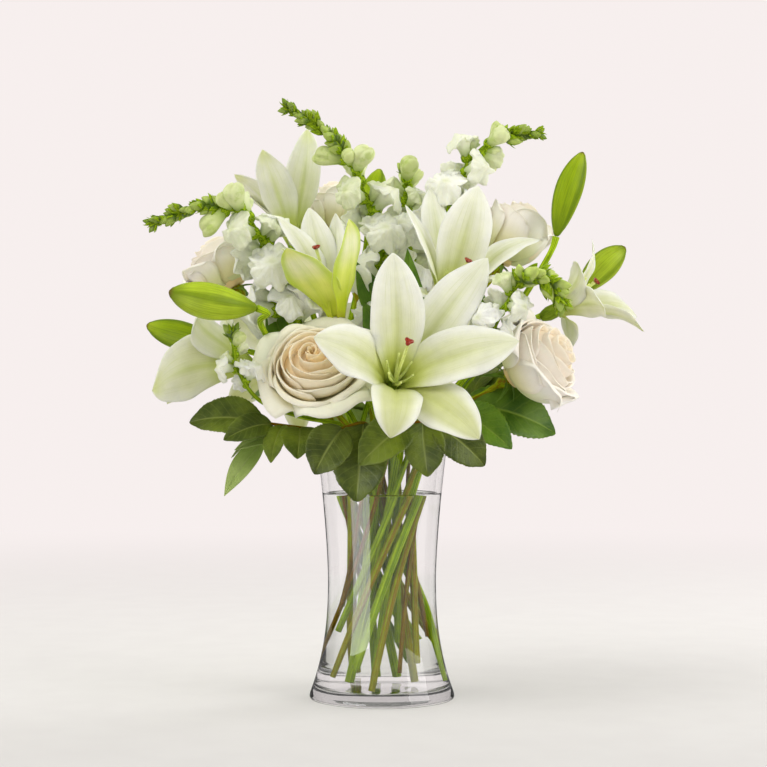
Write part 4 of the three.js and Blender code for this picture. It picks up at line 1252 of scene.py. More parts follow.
# %% Plans of the lily stems
LILY_STEMS = {
    "front": dict(
        stem=("inner", 268, [[-6, -17, 226]], 22),
        radius=3.1,
        stalks=[("front", None), ("half_open", None)],
        leaves=[],
    ),
    "centre": dict(
        stem=("inner", 325, [[24, -10, 240]]),
        radius=3.0,
        stalks=[("centre", None)],
        leaves=[
            dict(root=[22, -12, 232], tip=[12, -14, 292], width=15, face=[0.3, -1, 0.2], shape=lance),
            dict(root=[20, -12, 228], tip=[-14, -13, 306], width=28, face=[0, -1, 0.2]),
            dict(
                root=[24, -10, 240], tip=[20, 10, 350], width=24, face=[0, -1, 0.2], arch=0.05, shape=lance
            ),
        ],
    ),
    "left": dict(
        stem=("outer", 183, [[-62, -4, 236]], 40),
        radius=3.0,
        stalks=[
            ("left", None),
            ("left_upper", [-0.7, -0.5, 0.3], [-80, -2, 266], [-93, -30, 291]),
            ("left_lower", [-0.9, 0, 0.3], [-86, 16, 262]),
        ],
        leaves=[
            dict(root=[-58, -3, 232], tip=[-104, 30, 232], width=22, face=[0, 0.3, 1], shape=lance),
            dict(root=[-61, -4, 235], tip=[-90, 36, 312], width=24, face=[-0.2, -1, 0.2], shape=lance),
        ],
    ),
    "right": dict(
        stem=("outer", 5, [[80, 14, 262]], 26),
        radius=3.0,
        stalks=[
            ("right", None),
            ("right_upper", [0.3, 0, 0.95]),
            ("right_lower", [0.6, 0, 0.7], [122, 44, 296]),
        ],
        leaves=[
            dict(root=[60, 8, 236], tip=[104, 16, 262], width=20, face=[-0.4, 0, 1], shape=lance),
            dict(root=[76, 12, 256], tip=[78, -8, 316], width=20, face=[0, -1, 0.2], shape=lance),
        ],
    ),
    "back": dict(
        stem=("outer", 124, [[-36, 48, 245]]),
        radius=3.0,
        stalks=[("back", None), ("back_left", None), ("back_upper", [0.1, 0.4, 0.9])],
        leaves=[
            dict(root=[-36, 48, 244], tip=[-90, 66, 258], width=22, face=[0, 0.3, 1], shape=lance),
            dict(root=[-34, 45, 238], tip=[4, 70, 282], width=22, face=[0, 1, -0.4], shape=lance),
        ],
    ),
}


# %% Make the lily stems
STALK_SHARES = [0, 0.15, 0.9, 1]
STALK_RADII = [3.0, 2.6, 2.3, 2.9]


def add_stalk(bunch, start, target, direction, via):
    """A flower's stalk, from the top of the stem to just under its flower or bud."""
    is_bud = target in LILY_BUDS
    to = LILY_BUDS[target][0] if is_bud else LILIES[target]["base"]
    towards = unit(point(direction if direction is not None else LILIES[target]["axis"]))
    end = point(to) - towards * (0.7 if is_bud else 3.3)
    line = curve_through([start, *via, end - 10 * towards, end], 30)
    radii = np.interp(np.linspace(0, 1, len(line)), STALK_SHARES, STALK_RADII)
    add_tube(bunch, line, radii, 12)


for name, plan in LILY_STEMS.items():
    green = Bunch()
    line = stem_line(*plan["stem"])
    add_tube(green, line, np.linspace(plan["radius"], plan["radius"] * 0.9, len(line)), 14)
    for target, direction, *via in plan["stalks"]:
        add_stalk(green, line[-1], target, direction, via)
    for number, leaf in enumerate(plan["leaves"]):
        add_leaf(green, line, leaf, number + 3, side_veins=0, face=1, back=2)
    finishes = [lily_stem_green, lily_leaf_face, lily_leaf_back]
    stand_for(f"{name}_lily_stem", green, finishes, f"lily_stem_{name}")
print(len(LILY_STEMS), "lily stems")


# %% [markdown]
# ## Roses
#
# A rose opens from the outside. Its outer petals lie wide with rolled edges, the next ones stand like
# a bowl, and the heart is still wound into a spiral. Every petal is the same sheet on a different ring:
# the ring sets how far it leans, how high it stands and how far it wraps round. Each petal follows the
# last by the golden angle, which is how the real ones grow. A plain core stands a little below the
# rims. It is never seen as such, but without it the gaps between the petals would look bottomless.

# %% Where the roses stand
ROSES = {
    "front": dict(
        base=[-49, -29, 245],
        axis=[-0.1, -0.78, 0.62],
        radius=49,
        height=42,
        open=1.0,
        stem=("outer", 234, [[-38, -25, 224]]),
    ),
    "right": dict(
        base=[98, -21, 248],
        axis=[0.8, -0.4, 0.5],
        radius=46,
        height=57,
        open=0.55,
        stem=("outer", 338, [[60, -16, 226]], 18),
        leaves=[
            dict(root=[66, -20, 226], tip=[135, -2, 205], width=42, face=[0, -1, 0.6]),
            dict(root=[60, -19, 222], tip=[98, -44, 194], width=32, face=[0, -1, 0.6]),
        ],
    ),
    "upper_right": dict(
        base=[94, 45, 342],
        axis=[0.45, 0.1, 0.85],
        radius=38,
        height=56,
        open=0.2,
        stem=("outer", 28, [[52, 36, 270], [72, 42, 318]]),
    ),
    "upper_left": dict(
        base=[-118, 48, 322],
        axis=[-0.5, 0.1, 0.8],
        radius=41,
        height=46,
        open=0.5,
        turn=17,
        stem=("outer", 158, [[-60, 30, 255], [-88, 40, 300]]),
    ),
    "top": dict(
        base=[-36, 92, 370],
        axis=[-0.15, 0.12, 0.95],
        radius=31,
        height=46,
        open=0.3,
        stem=("inner", 112, [[-10, 50, 262], [-24, 80, 325]]),
    ),
    "back": dict(
        base=[42, 99, 289],
        axis=[0.2, 0.85, 0.45],
        radius=42,
        height=42,
        open=0.9,
        stem=("outer", 76, [[20, 58, 250]], 30),
    ),
}
print("roses:", ", ".join(ROSES))

# %% Middle surface of a rose petal
# Rings from the outermost petals, 0, to the wound heart, 1. Shapes are given for these and drawn between.
ROSE_STAGES = [0.0, 0.15, 0.3, 0.47, 0.65, 0.82, 1.0]


def rose_petal_grid(rose, ring, turn, number, rows=20, columns=17):
    """Radii and heights are shares of the bloom's, except the root and the low point in millimetres."""
    radius, height, is_open = rose["radius"], rose["height"], rose["open"]

    def at_ring(*values):
        return np.interp(ring, ROSE_STAGES, values)

    rim_out = 0.7 + 0.3 * is_open
    top_out = 0.92 - 0.42 * is_open
    top_mid = 0.96 - 0.14 * is_open
    top_near = 0.7 * top_out + 0.3 * top_mid
    belly = at_ring(0.66, 0.64, 0.64, 0.55, 0.41, 0.24, 0.08)
    rim = at_ring(rim_out, 0.9 * rim_out, 0.64, 0.52, 0.37, 0.2, 0.03)
    top = at_ring(top_out, top_near, 0.85 * top_mid, 0.82, 0.91, 0.98, 1.0)
    spread = at_ring(0.82, 0.95, 1.15, 1.3, 1.5, 1.8, 2.4)
    root = at_ring(7.5, 7, 6.5, 5.5, 4.2, 3, 1.2)
    low = at_ring(3, 4, 5, 6, 8, 9, 12)
    grow = at_ring(0.08, 0.1, 0.12, 0.15, 0.2, 0.26, 0.4)
    droop = at_ring(0.26, 0.22, 0.14, 0.1, 0.09, 0.1, 0.12)
    # Petals differ a little from each other, the outer ones most.
    stray = 1 - 0.6 * ring
    belly *= 1 + 0.07 * stray * (chance(number, 11) - 0.5)
    rim *= 1 + 0.08 * stray * (chance(number, 12) - 0.6)
    top *= 1 + 0.1 * stray * (chance(number, 13) - 0.6)
    turn += 0.5 * stray * (chance(number, 14) - 0.5)
    # From the hip up and out to the rim, which rolls over.
    u = np.linspace(0, 1, rows)[:, None] ** 0.85
    v = np.linspace(-1, 1, columns)[None, :]
    corners = [
        np.array([root, low]),
        np.array([belly * radius * 1.1, low + 0.05 * height]),
        np.array([belly * radius, 0.72 * top * height]),
        np.array([rim * radius, top * height]),
    ]
    profile, _ = bezier(*corners, u[:, 0])
    out, up = profile[:, :1], profile[:, 1:]
    loose = (1 - ring) ** 1.5 * (0.4 + 0.6 * is_open)
    roll = np.clip((u - 0.8) / 0.2, 0, 1) ** 2
    out = out + (0.4 + loose) * radius * 0.05 * roll
    up = up - (0.4 + loose) * height * 0.08 * roll
    # Round the bloom, with rounded corners and a waved rim.
    reach = out * (1 + grow * v) + loose * 2.0 * np.sin(4 * v + 1.1 * number) * u**4
    fullness = 0.55 + 0.45 * np.sin(math.pi * np.minimum(0.5, 0.8 * u)) - 0.24 * u**6
    angle = turn + v * spread * fullness
    corner_drop = droop * height * u**2 * v**2
    frill = loose * (2.6 * np.sin(4.5 * v + 2.3 * number) * u**4 + 0.8 * np.sin(9 * v + number) * u**6)
    return np.stack([reach * np.cos(angle), reach * np.sin(angle), up - corner_drop + frill], -1)


outer_petal = rose_petal_grid(ROSES["front"], 0, 0, 0)
print("an outer petal of the front rose rises", outer_petal[..., 2].max().round(1), "mm")


# %% Make the blooms of the roses
ROSE_PETALS = 31
GOLDEN_ANGLE = 137.5
ROSE_SHEET = 1.0
# Radius and height shares of the core, from its shoulder to its top, and how deep the gaps above it are.
CORE = [(0.53, 0.68), (0.47, 0.8), (0.34, 0.9), (0.18, 0.97), (0.02, 1.0)]
CORE_FOOT = [(0.5, 0.4), (9, 0.8)]
GAP_DEPTH = 11


def core_rings(rose):
    """The closed body that fills the bloom up to a little below the rims."""
    below = GAP_DEPTH * (0.4 + 0.6 * rose["open"])
    shoulder = np.array(CORE) * [rose["radius"], rose["height"]] - [0, below]
    return upright_body([*CORE_FOOT, *shoulder], 24)


for name, rose in ROSES.items():
    bloom = Bunch()
    for number in range(ROSE_PETALS):
        ring = number / (ROSE_PETALS - 1)
        grid = rose_petal_grid(rose, ring, number * math.radians(GOLDEN_ANGLE), number)
        world = place_head(grid, rose["base"], rose["axis"], rose.get("turn", 0))
        add_sheet(bloom, world, ROSE_SHEET, ring, 0, 0)
    add_rings(bloom, place_head(core_rings(rose), rose["base"], rose["axis"]), 0.8)
    petal = cream_petal if name in ("front", "back") else blush_petal
    stand_for(f"{name}_rose_bloom", bloom, [petal], f"rose_{name}_bloom")
print("triangles of one rose:", triangles["front_rose_bloom"])


# %% Make the stems, hips and sepals of the roses
HIP_OUTLINE = [(2.4, -13.0), (3.0, -11), (4.4, -8), (5.6, -5), (5.6, -2.5), (4.6, 0.2)]
SEPALS = 5
SEPAL_SHEET = 0.8
ROSE_LEAF = dict(teeth=0.09, tooth_count=18, side_veins=8, face=1, back=2)


def add_sepal(bunch, base, axis, number, face, back):
    """A narrow green leaf below the bloom that bends down towards its tip."""
    turn = number * 2 * math.pi / SEPALS
    outward = np.array([math.cos(turn), math.sin(turn), 0])
    side = np.array([-math.sin(turn), math.cos(turn), 0])
    drop = -9 - 5 * chance(2 * number, 1)
    u = np.linspace(0, 1, 18)[:, None]
    v = np.linspace(-1, 1, 7)[None, :]
    half = np.maximum(3.4 * (1 - u**1.3) * (1 + 0.15 * np.sin(26 * u)), 0.25)
    out = 3.5 + 17 * u
    height = -2.0 + drop * u**1.8 + 0.8 * np.abs(v) * (1 - u)
    grid = outward * out[..., None] + side * (v * half)[..., None]
    grid = grid + np.array([0, 0, 1.0]) * height[..., None]
    add_sheet(bunch, place_head(grid, base, axis), SEPAL_SHEET, 0.5, face, back)


for name, rose in ROSES.items():
    green = Bunch()
    direction = unit(point(rose["axis"]))
    ring, turn, via, *foot = rose["stem"]
    end = point(rose["base"]) - 11 * direction
    line = stem_line(ring, turn, [*via, end], *foot, final=direction)
    add_tube(green, line, np.linspace(2.5, 2.2, len(line)), 12)
    add_rings(green, place_head(upright_body(HIP_OUTLINE, 20), rose["base"], rose["axis"]))
    for number in range(SEPALS):
        add_sepal(green, rose["base"], rose["axis"], number, 1, 2)
    for number, leaf in enumerate(rose.get("leaves", [])):
        add_leaf(green, line, leaf, number, **ROSE_LEAF)
    finishes = [rose_stem_green, rose_leaf_face, rose_leaf_back]
    stand_for(f"{name}_rose_stem", green, finishes, f"rose_{name}_stem")
print(len(ROSES), "roses")


# %% [markdown]
# ## Snapdragon spikes
#
# A snapdragon flower is a tube that opens into two ruffled lips, with a swollen palate that shuts the
# throat. It is one closed surface here: out along the tube, over the rim of the lips and back in to the
# palate. A young flower is still a closed pouch, so each row of the surface knows both shapes, and the
# age of the flower mixes them. Cuts part the lips into lobes, and pleats run out to their rims.
# The spike carries the flowers in a spiral, oldest at the bottom, with tight green buds at the tip.

# %% Where the spikes run
SNAPDRAGONS = {
    "top_left": dict(
        stem=(
            "inner",
            156,
            [[-2, 18, 260], [2, 34, 320], [-8, 30, 376], [-28, 14, 423], [-48, 6, 444], [-76, 0, 460]],
            34,
        ),
        spike=215,
        buds=9,
        florets=12,
        size=35,
        leaves=[dict(root=[1, 27, 290], tip=[-20, 16, 340], width=22, face=[0, -1, 0.2], shape=lance)],
    ),
    "left": dict(
        stem=(
            "inner",
            196,
            [
                [-44, 0, 252],
                [-76, 7, 298],
                [-90, 2, 344],
                [-108, -8, 376],
                [-140, -12, 380],
                [-179, -12, 367],
            ],
        ),
        spike=172,
        buds=9,
        florets=10,
        size=35,
    ),
    "centre": dict(
        stem=("inner", 70, [[16, 46, 270], [19, 77, 335], [21, 87, 385], [19, 87, 425]], 44),
        spike=100,
        buds=2,
        florets=8,
        size=35,
    ),
    "top_right": dict(
        stem=(
            "inner",
            22,
            [[30, 22, 260], [45, 35, 330], [56, 35, 395], [74, 40, 427], [98, 46, 444], [128, 46, 446]],
        ),
        spike=130,
        buds=6,
        florets=9,
        size=30,
    ),
    "front_right": dict(
        stem=(
            "outer",
            312,
            [
                [48, -38, 232],
                [74, -48, 264],
                [90, -68, 298],
                [107, -78, 322],
                [122, -80, 318],
                [133, -80, 301],
            ],
            52,
        ),
        spike=84,
        buds=8,
        florets=5,
        size=24,
        lush=1.3,
    ),
    "front_left": dict(
        stem=(
            "inner",
            226,
            [[-40, -14, 214], [-64, -26, 219], [-94, -42, 232], [-109, -50, 256], [-112, -54, 284]],
        ),
        spike=42,
        buds=2,
        florets=4,
        size=20,
    ),
}
print("spikes:", ", ".join(SNAPDRAGONS))

# %% Rows of a floret, open and closed
# Shares of the size for each row, out along the tube, over the lips and back in to the palate: radius,
# height and how freely it waves, then radius and height while the flower is still a closed pouch.
FLORET_SIDES = 46
FLORET_ROWS = np.array(
    [
        [0.03, 0.00, 0, 0.03, 0],
        [0.10, 0.02, 0, 0.1, 0.02],
        [0.15, 0.10, 0, 0.14, 0.09],
        [0.165, 0.22, 0, 0.16, 0.2],
        [0.185, 0.34, 0, 0.18, 0.3],
        [0.22, 0.45, 0.05, 0.21, 0.4],
        [0.28, 0.55, 0.15, 0.24, 0.5],
        [0.36, 0.64, 0.35, 0.265, 0.59],
        [0.45, 0.71, 0.6, 0.28, 0.67],
        [0.53, 0.765, 0.85, 0.285, 0.74],
        [0.59, 0.80, 1.0, 0.28, 0.8],
        [0.60, 0.825, 1.0, 0.265, 0.85],
        [0.54, 0.825, 0.85, 0.24, 0.89],
        [0.44, 0.81, 0.6, 0.21, 0.92],
        [0.34, 0.81, 0.35, 0.18, 0.945],
        [0.25, 0.85, 0.15, 0.14, 0.965],
        [0.16, 0.89, 0.05, 0.1, 0.975],
        [0.08, 0.91, 0, 0.06, 0.98],
        [0.02, 0.905, 0, 0.02, 0.98],
    ]
)
# Where the edge of the lips is cut, in degrees from the right, and how deep: first between the two
# lips, then within each lip.
LIP_CUTS = [(0, 0.36), (180, 0.36), (90, 0.3), (-58, 0.24), (-122, 0.24)]
CUT_WIDTH = 0.17
print("a floret has", len(FLORET_ROWS), "rings of", FLORET_SIDES, "points")


# %% Shape of a floret
def lip_cuts(turn, number):
    """How deep the rim is cut at each turn. No two flowers are cut quite alike."""
    cut = 0 * turn
    for edge, (degrees, depth) in enumerate(LIP_CUTS):
        off = math.radians(degrees + 24 * (chance(number, edge + 20) - 0.5))
        away = np.abs(np.mod(turn - off + math.pi, 2 * math.pi) - math.pi)
        cut = cut + depth * (0.5 + 0.8 * chance(number, edge + 30)) * np.exp(-((away / CUT_WIDTH) ** 2))
    return cut


def floret_rings(size, age, number):
    """Upper lip towards +y with two lobes, lower lip towards -y with three. Young lips stay closed."""
    turn = np.linspace(-math.pi, math.pi, FLORET_SIDES, endpoint=False)[None, :]
    radius, height, loose, shut_radius, shut_height = FLORET_ROWS.T[:, :, None]
    opened = smooth_step((age - 0.03) / 0.34)
    radius = opened * radius + (1 - opened) * shut_radius
    height = opened * height + (1 - opened) * shut_height
    loose = loose * opened
    cut = lip_cuts(turn, number)
    phases = [6.28 * chance(number, k) for k in range(4)]
    ruffle = 0.075 * np.sin(4 * turn + phases[0]) + 0.055 * np.sin(7 * turn + phases[1])
    frill = 0.06 * np.sin(3 * turn + phases[2]) + 0.03 * np.sin(8 * turn + phases[3])
    pleats = loose * 0.034 * np.sin(12 * turn + phases[1] + 9 * radius)
    # How far each point lies from the tube's middle. A shut mouth draws in between the lips.
    spread = 1 - (0.34 - 0.34 * age) * opened
    reach = radius * (1 - (1 - spread) * np.minimum(1, 2 * height)) * (1 - loose * cut)
    reach = reach * (1 + 0.16 * loose * np.abs(np.sin(turn)) + loose**2 * frill + 1.2 * pleats)
    between = np.exp(-((np.sin(turn) / 0.25) ** 2))
    mouth = 0.26 * (1 - opened) * between * smooth_step((height - 0.45) / 0.3)
    reach = reach * (1 - mouth)
    # How far out along the flower. The lips curl back, and the palate swells on the lower one.
    up_lip = np.clip(np.sin(turn), 0, 1)
    low_lip = np.clip(-np.sin(turn), 0, 1)
    curl_back = loose**2 * (0.2 * up_lip + 0.34 * low_lip)
    palate = np.exp(-(((radius - 0.16) / 0.1) ** 2)) * (height > 0.8) * low_lip * 0.09
    rise = height - curl_back + palate + loose**2 * ruffle * (0.5 + 0.5 * age) - 0.05 * loose * cut + pleats
    local = np.stack([reach * np.cos(turn), reach * np.sin(turn), rise + 0 * turn], -1)
    local[..., 1] -= 0.06 * np.clip(height, 0, 1) ** 2
    return size * local


def faced(local, place, axis, upwards):
    """Lays a flower along its axis with its upper lip turned upwards."""
    z = unit(axis)
    y = unit(upwards - z * np.dot(upwards, z))
    return local @ np.array([np.cross(y, z), y, z]) + place


print("an open floret of size 1 is", floret_rings(1, 1, 0)[..., 2].max().round(2), "high")

# %% One floret in its calyx
CALYX_RADII = [0.05, 0.13, 0.17, 0.18, 0.185, 0.15]
CALYX_SIDES = 15
CALYX_LENGTH = 0.26


def add_floret(bunch, place, axis, tangent, size, age, number):
    """The flower, and the five-toothed green cup that holds its tube."""
    add_rings(bunch, faced(floret_rings(size, age, number), place, axis, tangent), 0.1 + 0.9 * age, 0)
    heights = CALYX_LENGTH * size * np.linspace(0, 1, len(CALYX_RADII)) - 0.3
    calyx = upright_body(np.stack([size * np.array(CALYX_RADII), heights], -1), CALYX_SIDES)
    turn = np.linspace(0, 2 * math.pi, CALYX_SIDES, endpoint=False)
    calyx[4:, :, 2] += 0.05 * size * np.cos(5 * turn)
    add_rings(bunch, faced(calyx, place, axis, tangent), 0.0, 2)


print("a calyx reaches", CALYX_LENGTH, "of the floret's size")

# %% One closed bud of a spike
EGG_SHARES = [0, 0.12, 0.38, 0.5, 0.75, 0.93, 1]
EGG_RADII = [0.25, 0.74, 1.0, 0.95, 0.68, 0.3, 0.06]
BRACT_SHEET = 0.35


def add_spike_bud(bunch, place, axis, length, radius, tone):
    """An egg-shaped bud that ends in a blunt point."""
    share = np.linspace(0, 1, 12)
    swell = np.interp(share, EGG_SHARES, EGG_RADII)
    line = np.stack([0.12 * radius * np.sin(math.pi * share), 0 * share, length * share], -1)
    rings = rings_along(line, radius * swell, 14, lambda turn: 1 + 0.09 * np.cos(5 * turn))
    add_rings(bunch, place_head(rings, place, axis), tone, 1)


def add_bracts(bunch, place, axis, length, radius, count=4):
    """Pointed green scales that hug a bud from its foot and stand off a little at their tips."""
    u = np.linspace(0, 1, 7)[:, None]
    v = np.linspace(-1, 1, 5)[None, :]
    out = radius * (0.4 + 0.75 * np.sin(0.6 * math.pi * u) + 0.3 * u**3)
    half = radius * 0.85 * (1 - u**1.8) * (0.4 + 0.6 * np.minimum(1, 3 * u)) + 0.12
    for number in range(count):
        turn = number * 2 * math.pi / count + 6 * chance(number, length)
        angle = turn + v * half / out
        height = length * (0.02 + (0.6 + 0.25 * chance(number, radius)) * u) + 0 * v
        grid = np.stack([out * np.cos(angle), out * np.sin(angle), height], -1)
        add_sheet(bunch, place_head(grid, place, axis), BRACT_SHEET, 0.0, 2, 2)


print("a bud is widest at", EGG_SHARES[int(np.argmax(EGG_RADII))], "of its length")

# %% Places in a spiral round a spike
def along_line(line, share):
    """The point and direction at a share of a line's length, measured from its start."""
    where = np.clip(share, 0, 1) * (len(line) - 1)
    i = min(int(where), len(line) - 2)
    return line[i] + (line[i + 1] - line[i]) * (where - i), unit(line[i + 1] - line[i])


def spiral_place(line, length, from_tip, turn):
    """The stem's point and direction at a distance from its tip, and the way out from there."""
    centre, tangent = along_line(line, 1 - from_tip / length)
    side = unit(np.cross([0, 1, 0.02], tangent))
    across = np.cross(tangent, side)
    return centre, tangent, side * math.cos(turn) + across * math.sin(turn)


# %% Groups on a spike
def add_floret_pair(bunch, above, length, from_tip, turn, size, age, number):
    """A floret and a smaller one beside it, because a real spike is denser than one spiral."""
    centre, tangent, outward = spiral_place(above, length, from_tip, turn)
    add_floret(bunch, centre, outward + tangent * (0.9 - 0.5 * age), tangent, size, age, number)
    centre, _, outward = spiral_place(above, length, from_tip + 4, turn + 2.0)
    axis = outward + tangent * (1.0 - 0.5 * age)
    add_floret(bunch, centre, axis, tangent, 0.74 * size, age, number + 50)


def add_bud_group(bunch, above, length, from_tip, turn, grown, lush, number):
    """Three buds of falling size. A lush spike has larger and paler ones."""
    for extra in range(3):
        place = spiral_place(above, length, from_tip + 2.4 * extra, turn + 2.6 * extra)
        centre, tangent, outward = place
        axis = outward + tangent * (1.6 - 0.6 * grown)
        small = (1.0 - 0.12 * extra) * lush
        bud_length, bud_radius = small * (9.5 + 7 * grown), small * (2.4 + 2.3 * grown)
        tone = 0.7 * grown + 0.2 * chance(number, extra) + lush - 1
        add_spike_bud(bunch, centre, axis, bud_length, bud_radius, tone)
        add_bracts(bunch, centre, axis, bud_length, bud_radius)


# %% Make the spikes
BARE_TIP = 3

for name, plan in SNAPDRAGONS.items():
    spike = Bunch()
    line = stem_line(*plan["stem"], count=90)
    add_tube(spike, line, np.linspace(2.4, 1.3, len(line)), 10, 0.0, 2)
    for number, leaf in enumerate(plan.get("leaves", [])):
        add_leaf(spike, line, leaf, number + 2, side_veins=0, face=3, back=4)
    above = evenly(line[IN_WATER:], 200)
    length = np.linalg.norm(np.diff(above, axis=0), axis=1).sum()
    buds, florets = plan["buds"], plan["florets"]
    for number in range(buds + florets):
        share = number / (buds + florets - 1)
        from_tip = BARE_TIP + (plan["spike"] - BARE_TIP) * share**1.5
        turn = math.radians(GOLDEN_ANGLE * number + 40 * chance(number, plan["spike"]))
        if number < buds:
            lush = plan.get("lush", 1.0)
            add_bud_group(spike, above, length, from_tip, turn, number / buds, lush, number)
        else:
            age = (number - buds) / florets
            size = plan["size"] * (0.8 + 0.25 * age)
            add_floret_pair(spike, above, length, from_tip, turn, size, age, number)
    finishes = [snapdragon_petal, spike_bud, spike_stem, lily_leaf_face, lily_leaf_back]
    stand_for(f"{name}_snapdragon", spike, finishes, f"snapdragon_{name}")
print("triangles of the longest spike:", triangles["top_left_snapdragon"])


# %% [markdown]
# ## Lemon leaf and ruscus
#
# The collar of dark leaves hides the vase's mouth and gives the white flowers something to stand out
# from. A branch is a thin woody stem with a few broad leaves, each on its own side.

# %% Plans of the branches
BRANCHES = {
    "lemon_leaf_left": (
        ("outer", 212, [[-54, -33, 209], [-92, -30, 214]], 60),
        [
            dict(root=[-90, -30, 214], tip=[-147, -28, 214], width=34, face=[0, -1, 0.7]),
            dict(root=[-84, -31, 213], tip=[-119, -50, 201], width=22, face=[0, -1, 0.4]),
            dict(root=[-76, -32, 212], tip=[-83, -56, 184], width=18, face=[-0.3, -1, 0.2]),
            dict(root=[-62, -33, 210], tip=[-63, -60, 187], width=28, face=[0, -1, 0.4]),
        ],
    ),
    "ruscus_left": (
        ("outer", 198, [[-58, -14, 206], [-92, -16, 200]], 20),
        [
            dict(root=[-72, -15, 204], tip=[-112, -36, 193], width=15, face=[0, -1, 0.7], shape=lance),
            dict(root=[-82, -16, 202], tip=[-117, -6, 186], width=13, shape=lance),
            dict(root=[-91, -16, 200], tip=[-120, -32, 158], width=18, face=[-0.3, -1, 0.1], shape=lance),
        ],
    ),
    "lemon_leaf_front": (
        ("outer", 257, [[-14, -52, 214], [-30, -58, 210]], 70),
        [
            dict(root=[-14, -52, 213], tip=[-19, -62, 155], width=42, face=[0, -1, 0.15]),
            dict(root=[-29, -58, 210], tip=[-50, -68, 176], width=34, face=[0, -1, 0.3]),
        ],
    ),
    "lemon_leaf_front_right": (
        ("outer", 283, [[20, -54, 214], [40, -58, 214]], 14),
        [
            dict(root=[20, -55, 213], tip=[-17, -74, 183], width=33, face=[0, -1, 0.4]),
            dict(root=[30, -57, 213], tip=[34, -64, 174], width=31, face=[0, -1, 0.3]),
            dict(root=[39, -58, 213], tip=[77, -56, 182], width=33, face=[0, -1, 0.4]),
        ],
    ),
    "lemon_leaf_right": (
        ("outer", 54, [[50, 40, 224], [92, 52, 244]], 24),
        [
            dict(root=[50, 40, 222], tip=[96, 20, 200], width=32, face=[0.3, -0.8, 0.8]),
            dict(root=[64, 44, 230], tip=[92, 86, 208], width=34, face=[0.3, 0.3, 1]),
            dict(root=[78, 48, 238], tip=[132, 26, 238], width=30, face=[0.2, -0.8, 0.8]),
            dict(root=[90, 52, 243], tip=[138, 74, 250], width=34, face=[0, 0, 1]),
            dict(root=[70, 46, 234], tip=[104, 84, 262], width=32, face=[0.4, 0.4, 1]),
            dict(root=[54, 40, 224], tip=[60, 78, 196], width=30, face=[0.3, 0.8, 0.6]),
        ],
    ),
    "lemon_leaf_back": (
        ("outer", 101, [[-8, 56, 218], [-6, 84, 224]], 48),
        [
            dict(root=[-8, 56, 217], tip=[-48, 88, 184], width=36, face=[0, 0.8, 0.6]),
            dict(root=[-7, 66, 220], tip=[36, 94, 190], width=36, face=[0, 0.8, 0.6]),
            dict(root=[-6, 82, 223], tip=[-2, 128, 212], width=36, face=[0, 0.5, 1]),
            dict(root=[-8, 60, 218], tip=[-66, 72, 216], width=34, face=[0, 0.6, 1]),
            dict(root=[-7, 74, 221], tip=[26, 112, 236], width=32, face=[0.2, 0.4, 1]),
        ],
    ),
}

# %% Make the branches
LEMON_LEAF = dict(teeth=0.055, tooth_count=21, side_veins=9, face=1, back=2)
RUSCUS_LEAF = dict(side_veins=0, face=1, back=2)

for name, (stem, leaves) in BRANCHES.items():
    is_ruscus = name.startswith("ruscus")
    green = Bunch()
    line = stem_line(*stem)
    add_tube(green, line, np.linspace(1.6, 1.12, len(line)), 10)
    for number, leaf in enumerate(leaves):
        add_leaf(green, line, leaf, number, **(RUSCUS_LEAF if is_ruscus else LEMON_LEAF))
    finishes = [salal_stem_brown, salal_face, salal_back]
    if is_ruscus:
        finishes = [ruscus_stem_green, ruscus_face, ruscus_back]
    stand_for(f"{name}_branch", green, finishes, name)
print(len(BRANCHES), "branches")


# %% [markdown]
# ## Vase and water
#
# Blown glass has a thick foot, walls a few millimetres thick and a rounded lip. A turned outline gives
# the outside and the inside in one closed surface, which glass needs: light must enter and leave it.
# The water reaches a hair into the wall. With a gap of air between them the wall would turn silver.
# Light bent by glass draws bright shapes, which take far too long to render without noise. So a ray
# that only asks for shadow meets a transparent surface here, and lamps shine straight through both.

# %% Vase outline
VASE_HEIGHT = 203
RIM_RADIUS = 51.5
WAIST_RADIUS = 42
WAIST_HEIGHT = 92
FOOT_RADIUS = 57.5
GLASS_WALL = 3.2
GLASS_FLOOR = 8
WATER_LEVEL = 158
TURNED_SIDES = 144


def outer_radius(z):
    above = np.maximum(0, z - WAIST_HEIGHT) / (VASE_HEIGHT - WAIST_HEIGHT)
    below = np.maximum(0, WAIST_HEIGHT - z) / WAIST_HEIGHT
    flare = (RIM_RADIUS - WAIST_RADIUS) * above**1.5
    return WAIST_RADIUS + flare + (FOOT_RADIUS - WAIST_RADIUS) * below**2.4


def rounded(corner, start, end, count=6):
    """A few points round a corner of the outline."""
    t = np.linspace(0, 1, count)[:, None]
    return point(start) * (1 - t) ** 2 + 2 * point(corner) * t * (1 - t) + point(end) * t**2


measured = outer_radius(np.array([VASE_HEIGHT, WAIST_HEIGHT, 0]))
print("outer radius at the rim, the waist and the foot:", measured.tolist())

# %% A turned body about the vase's axis

def turned(bunch, outline, tone=0.0, finish=0):
    """An outline of (radius, height) turned about the vase's axis, with both ends on it."""
    outline = np.asarray(outline, float)
    line = np.stack([0 * outline[:, 0], 0 * outline[:, 0], outline[:, 1]], -1)
    turn = np.linspace(0, 2 * math.pi, TURNED_SIDES, endpoint=False)
    ring = np.stack([np.cos(turn), np.sin(turn), 0 * turn], -1)
    add_rings(bunch, line[:, None] + ring[None] * outline[:, :1, None], tone, finish)


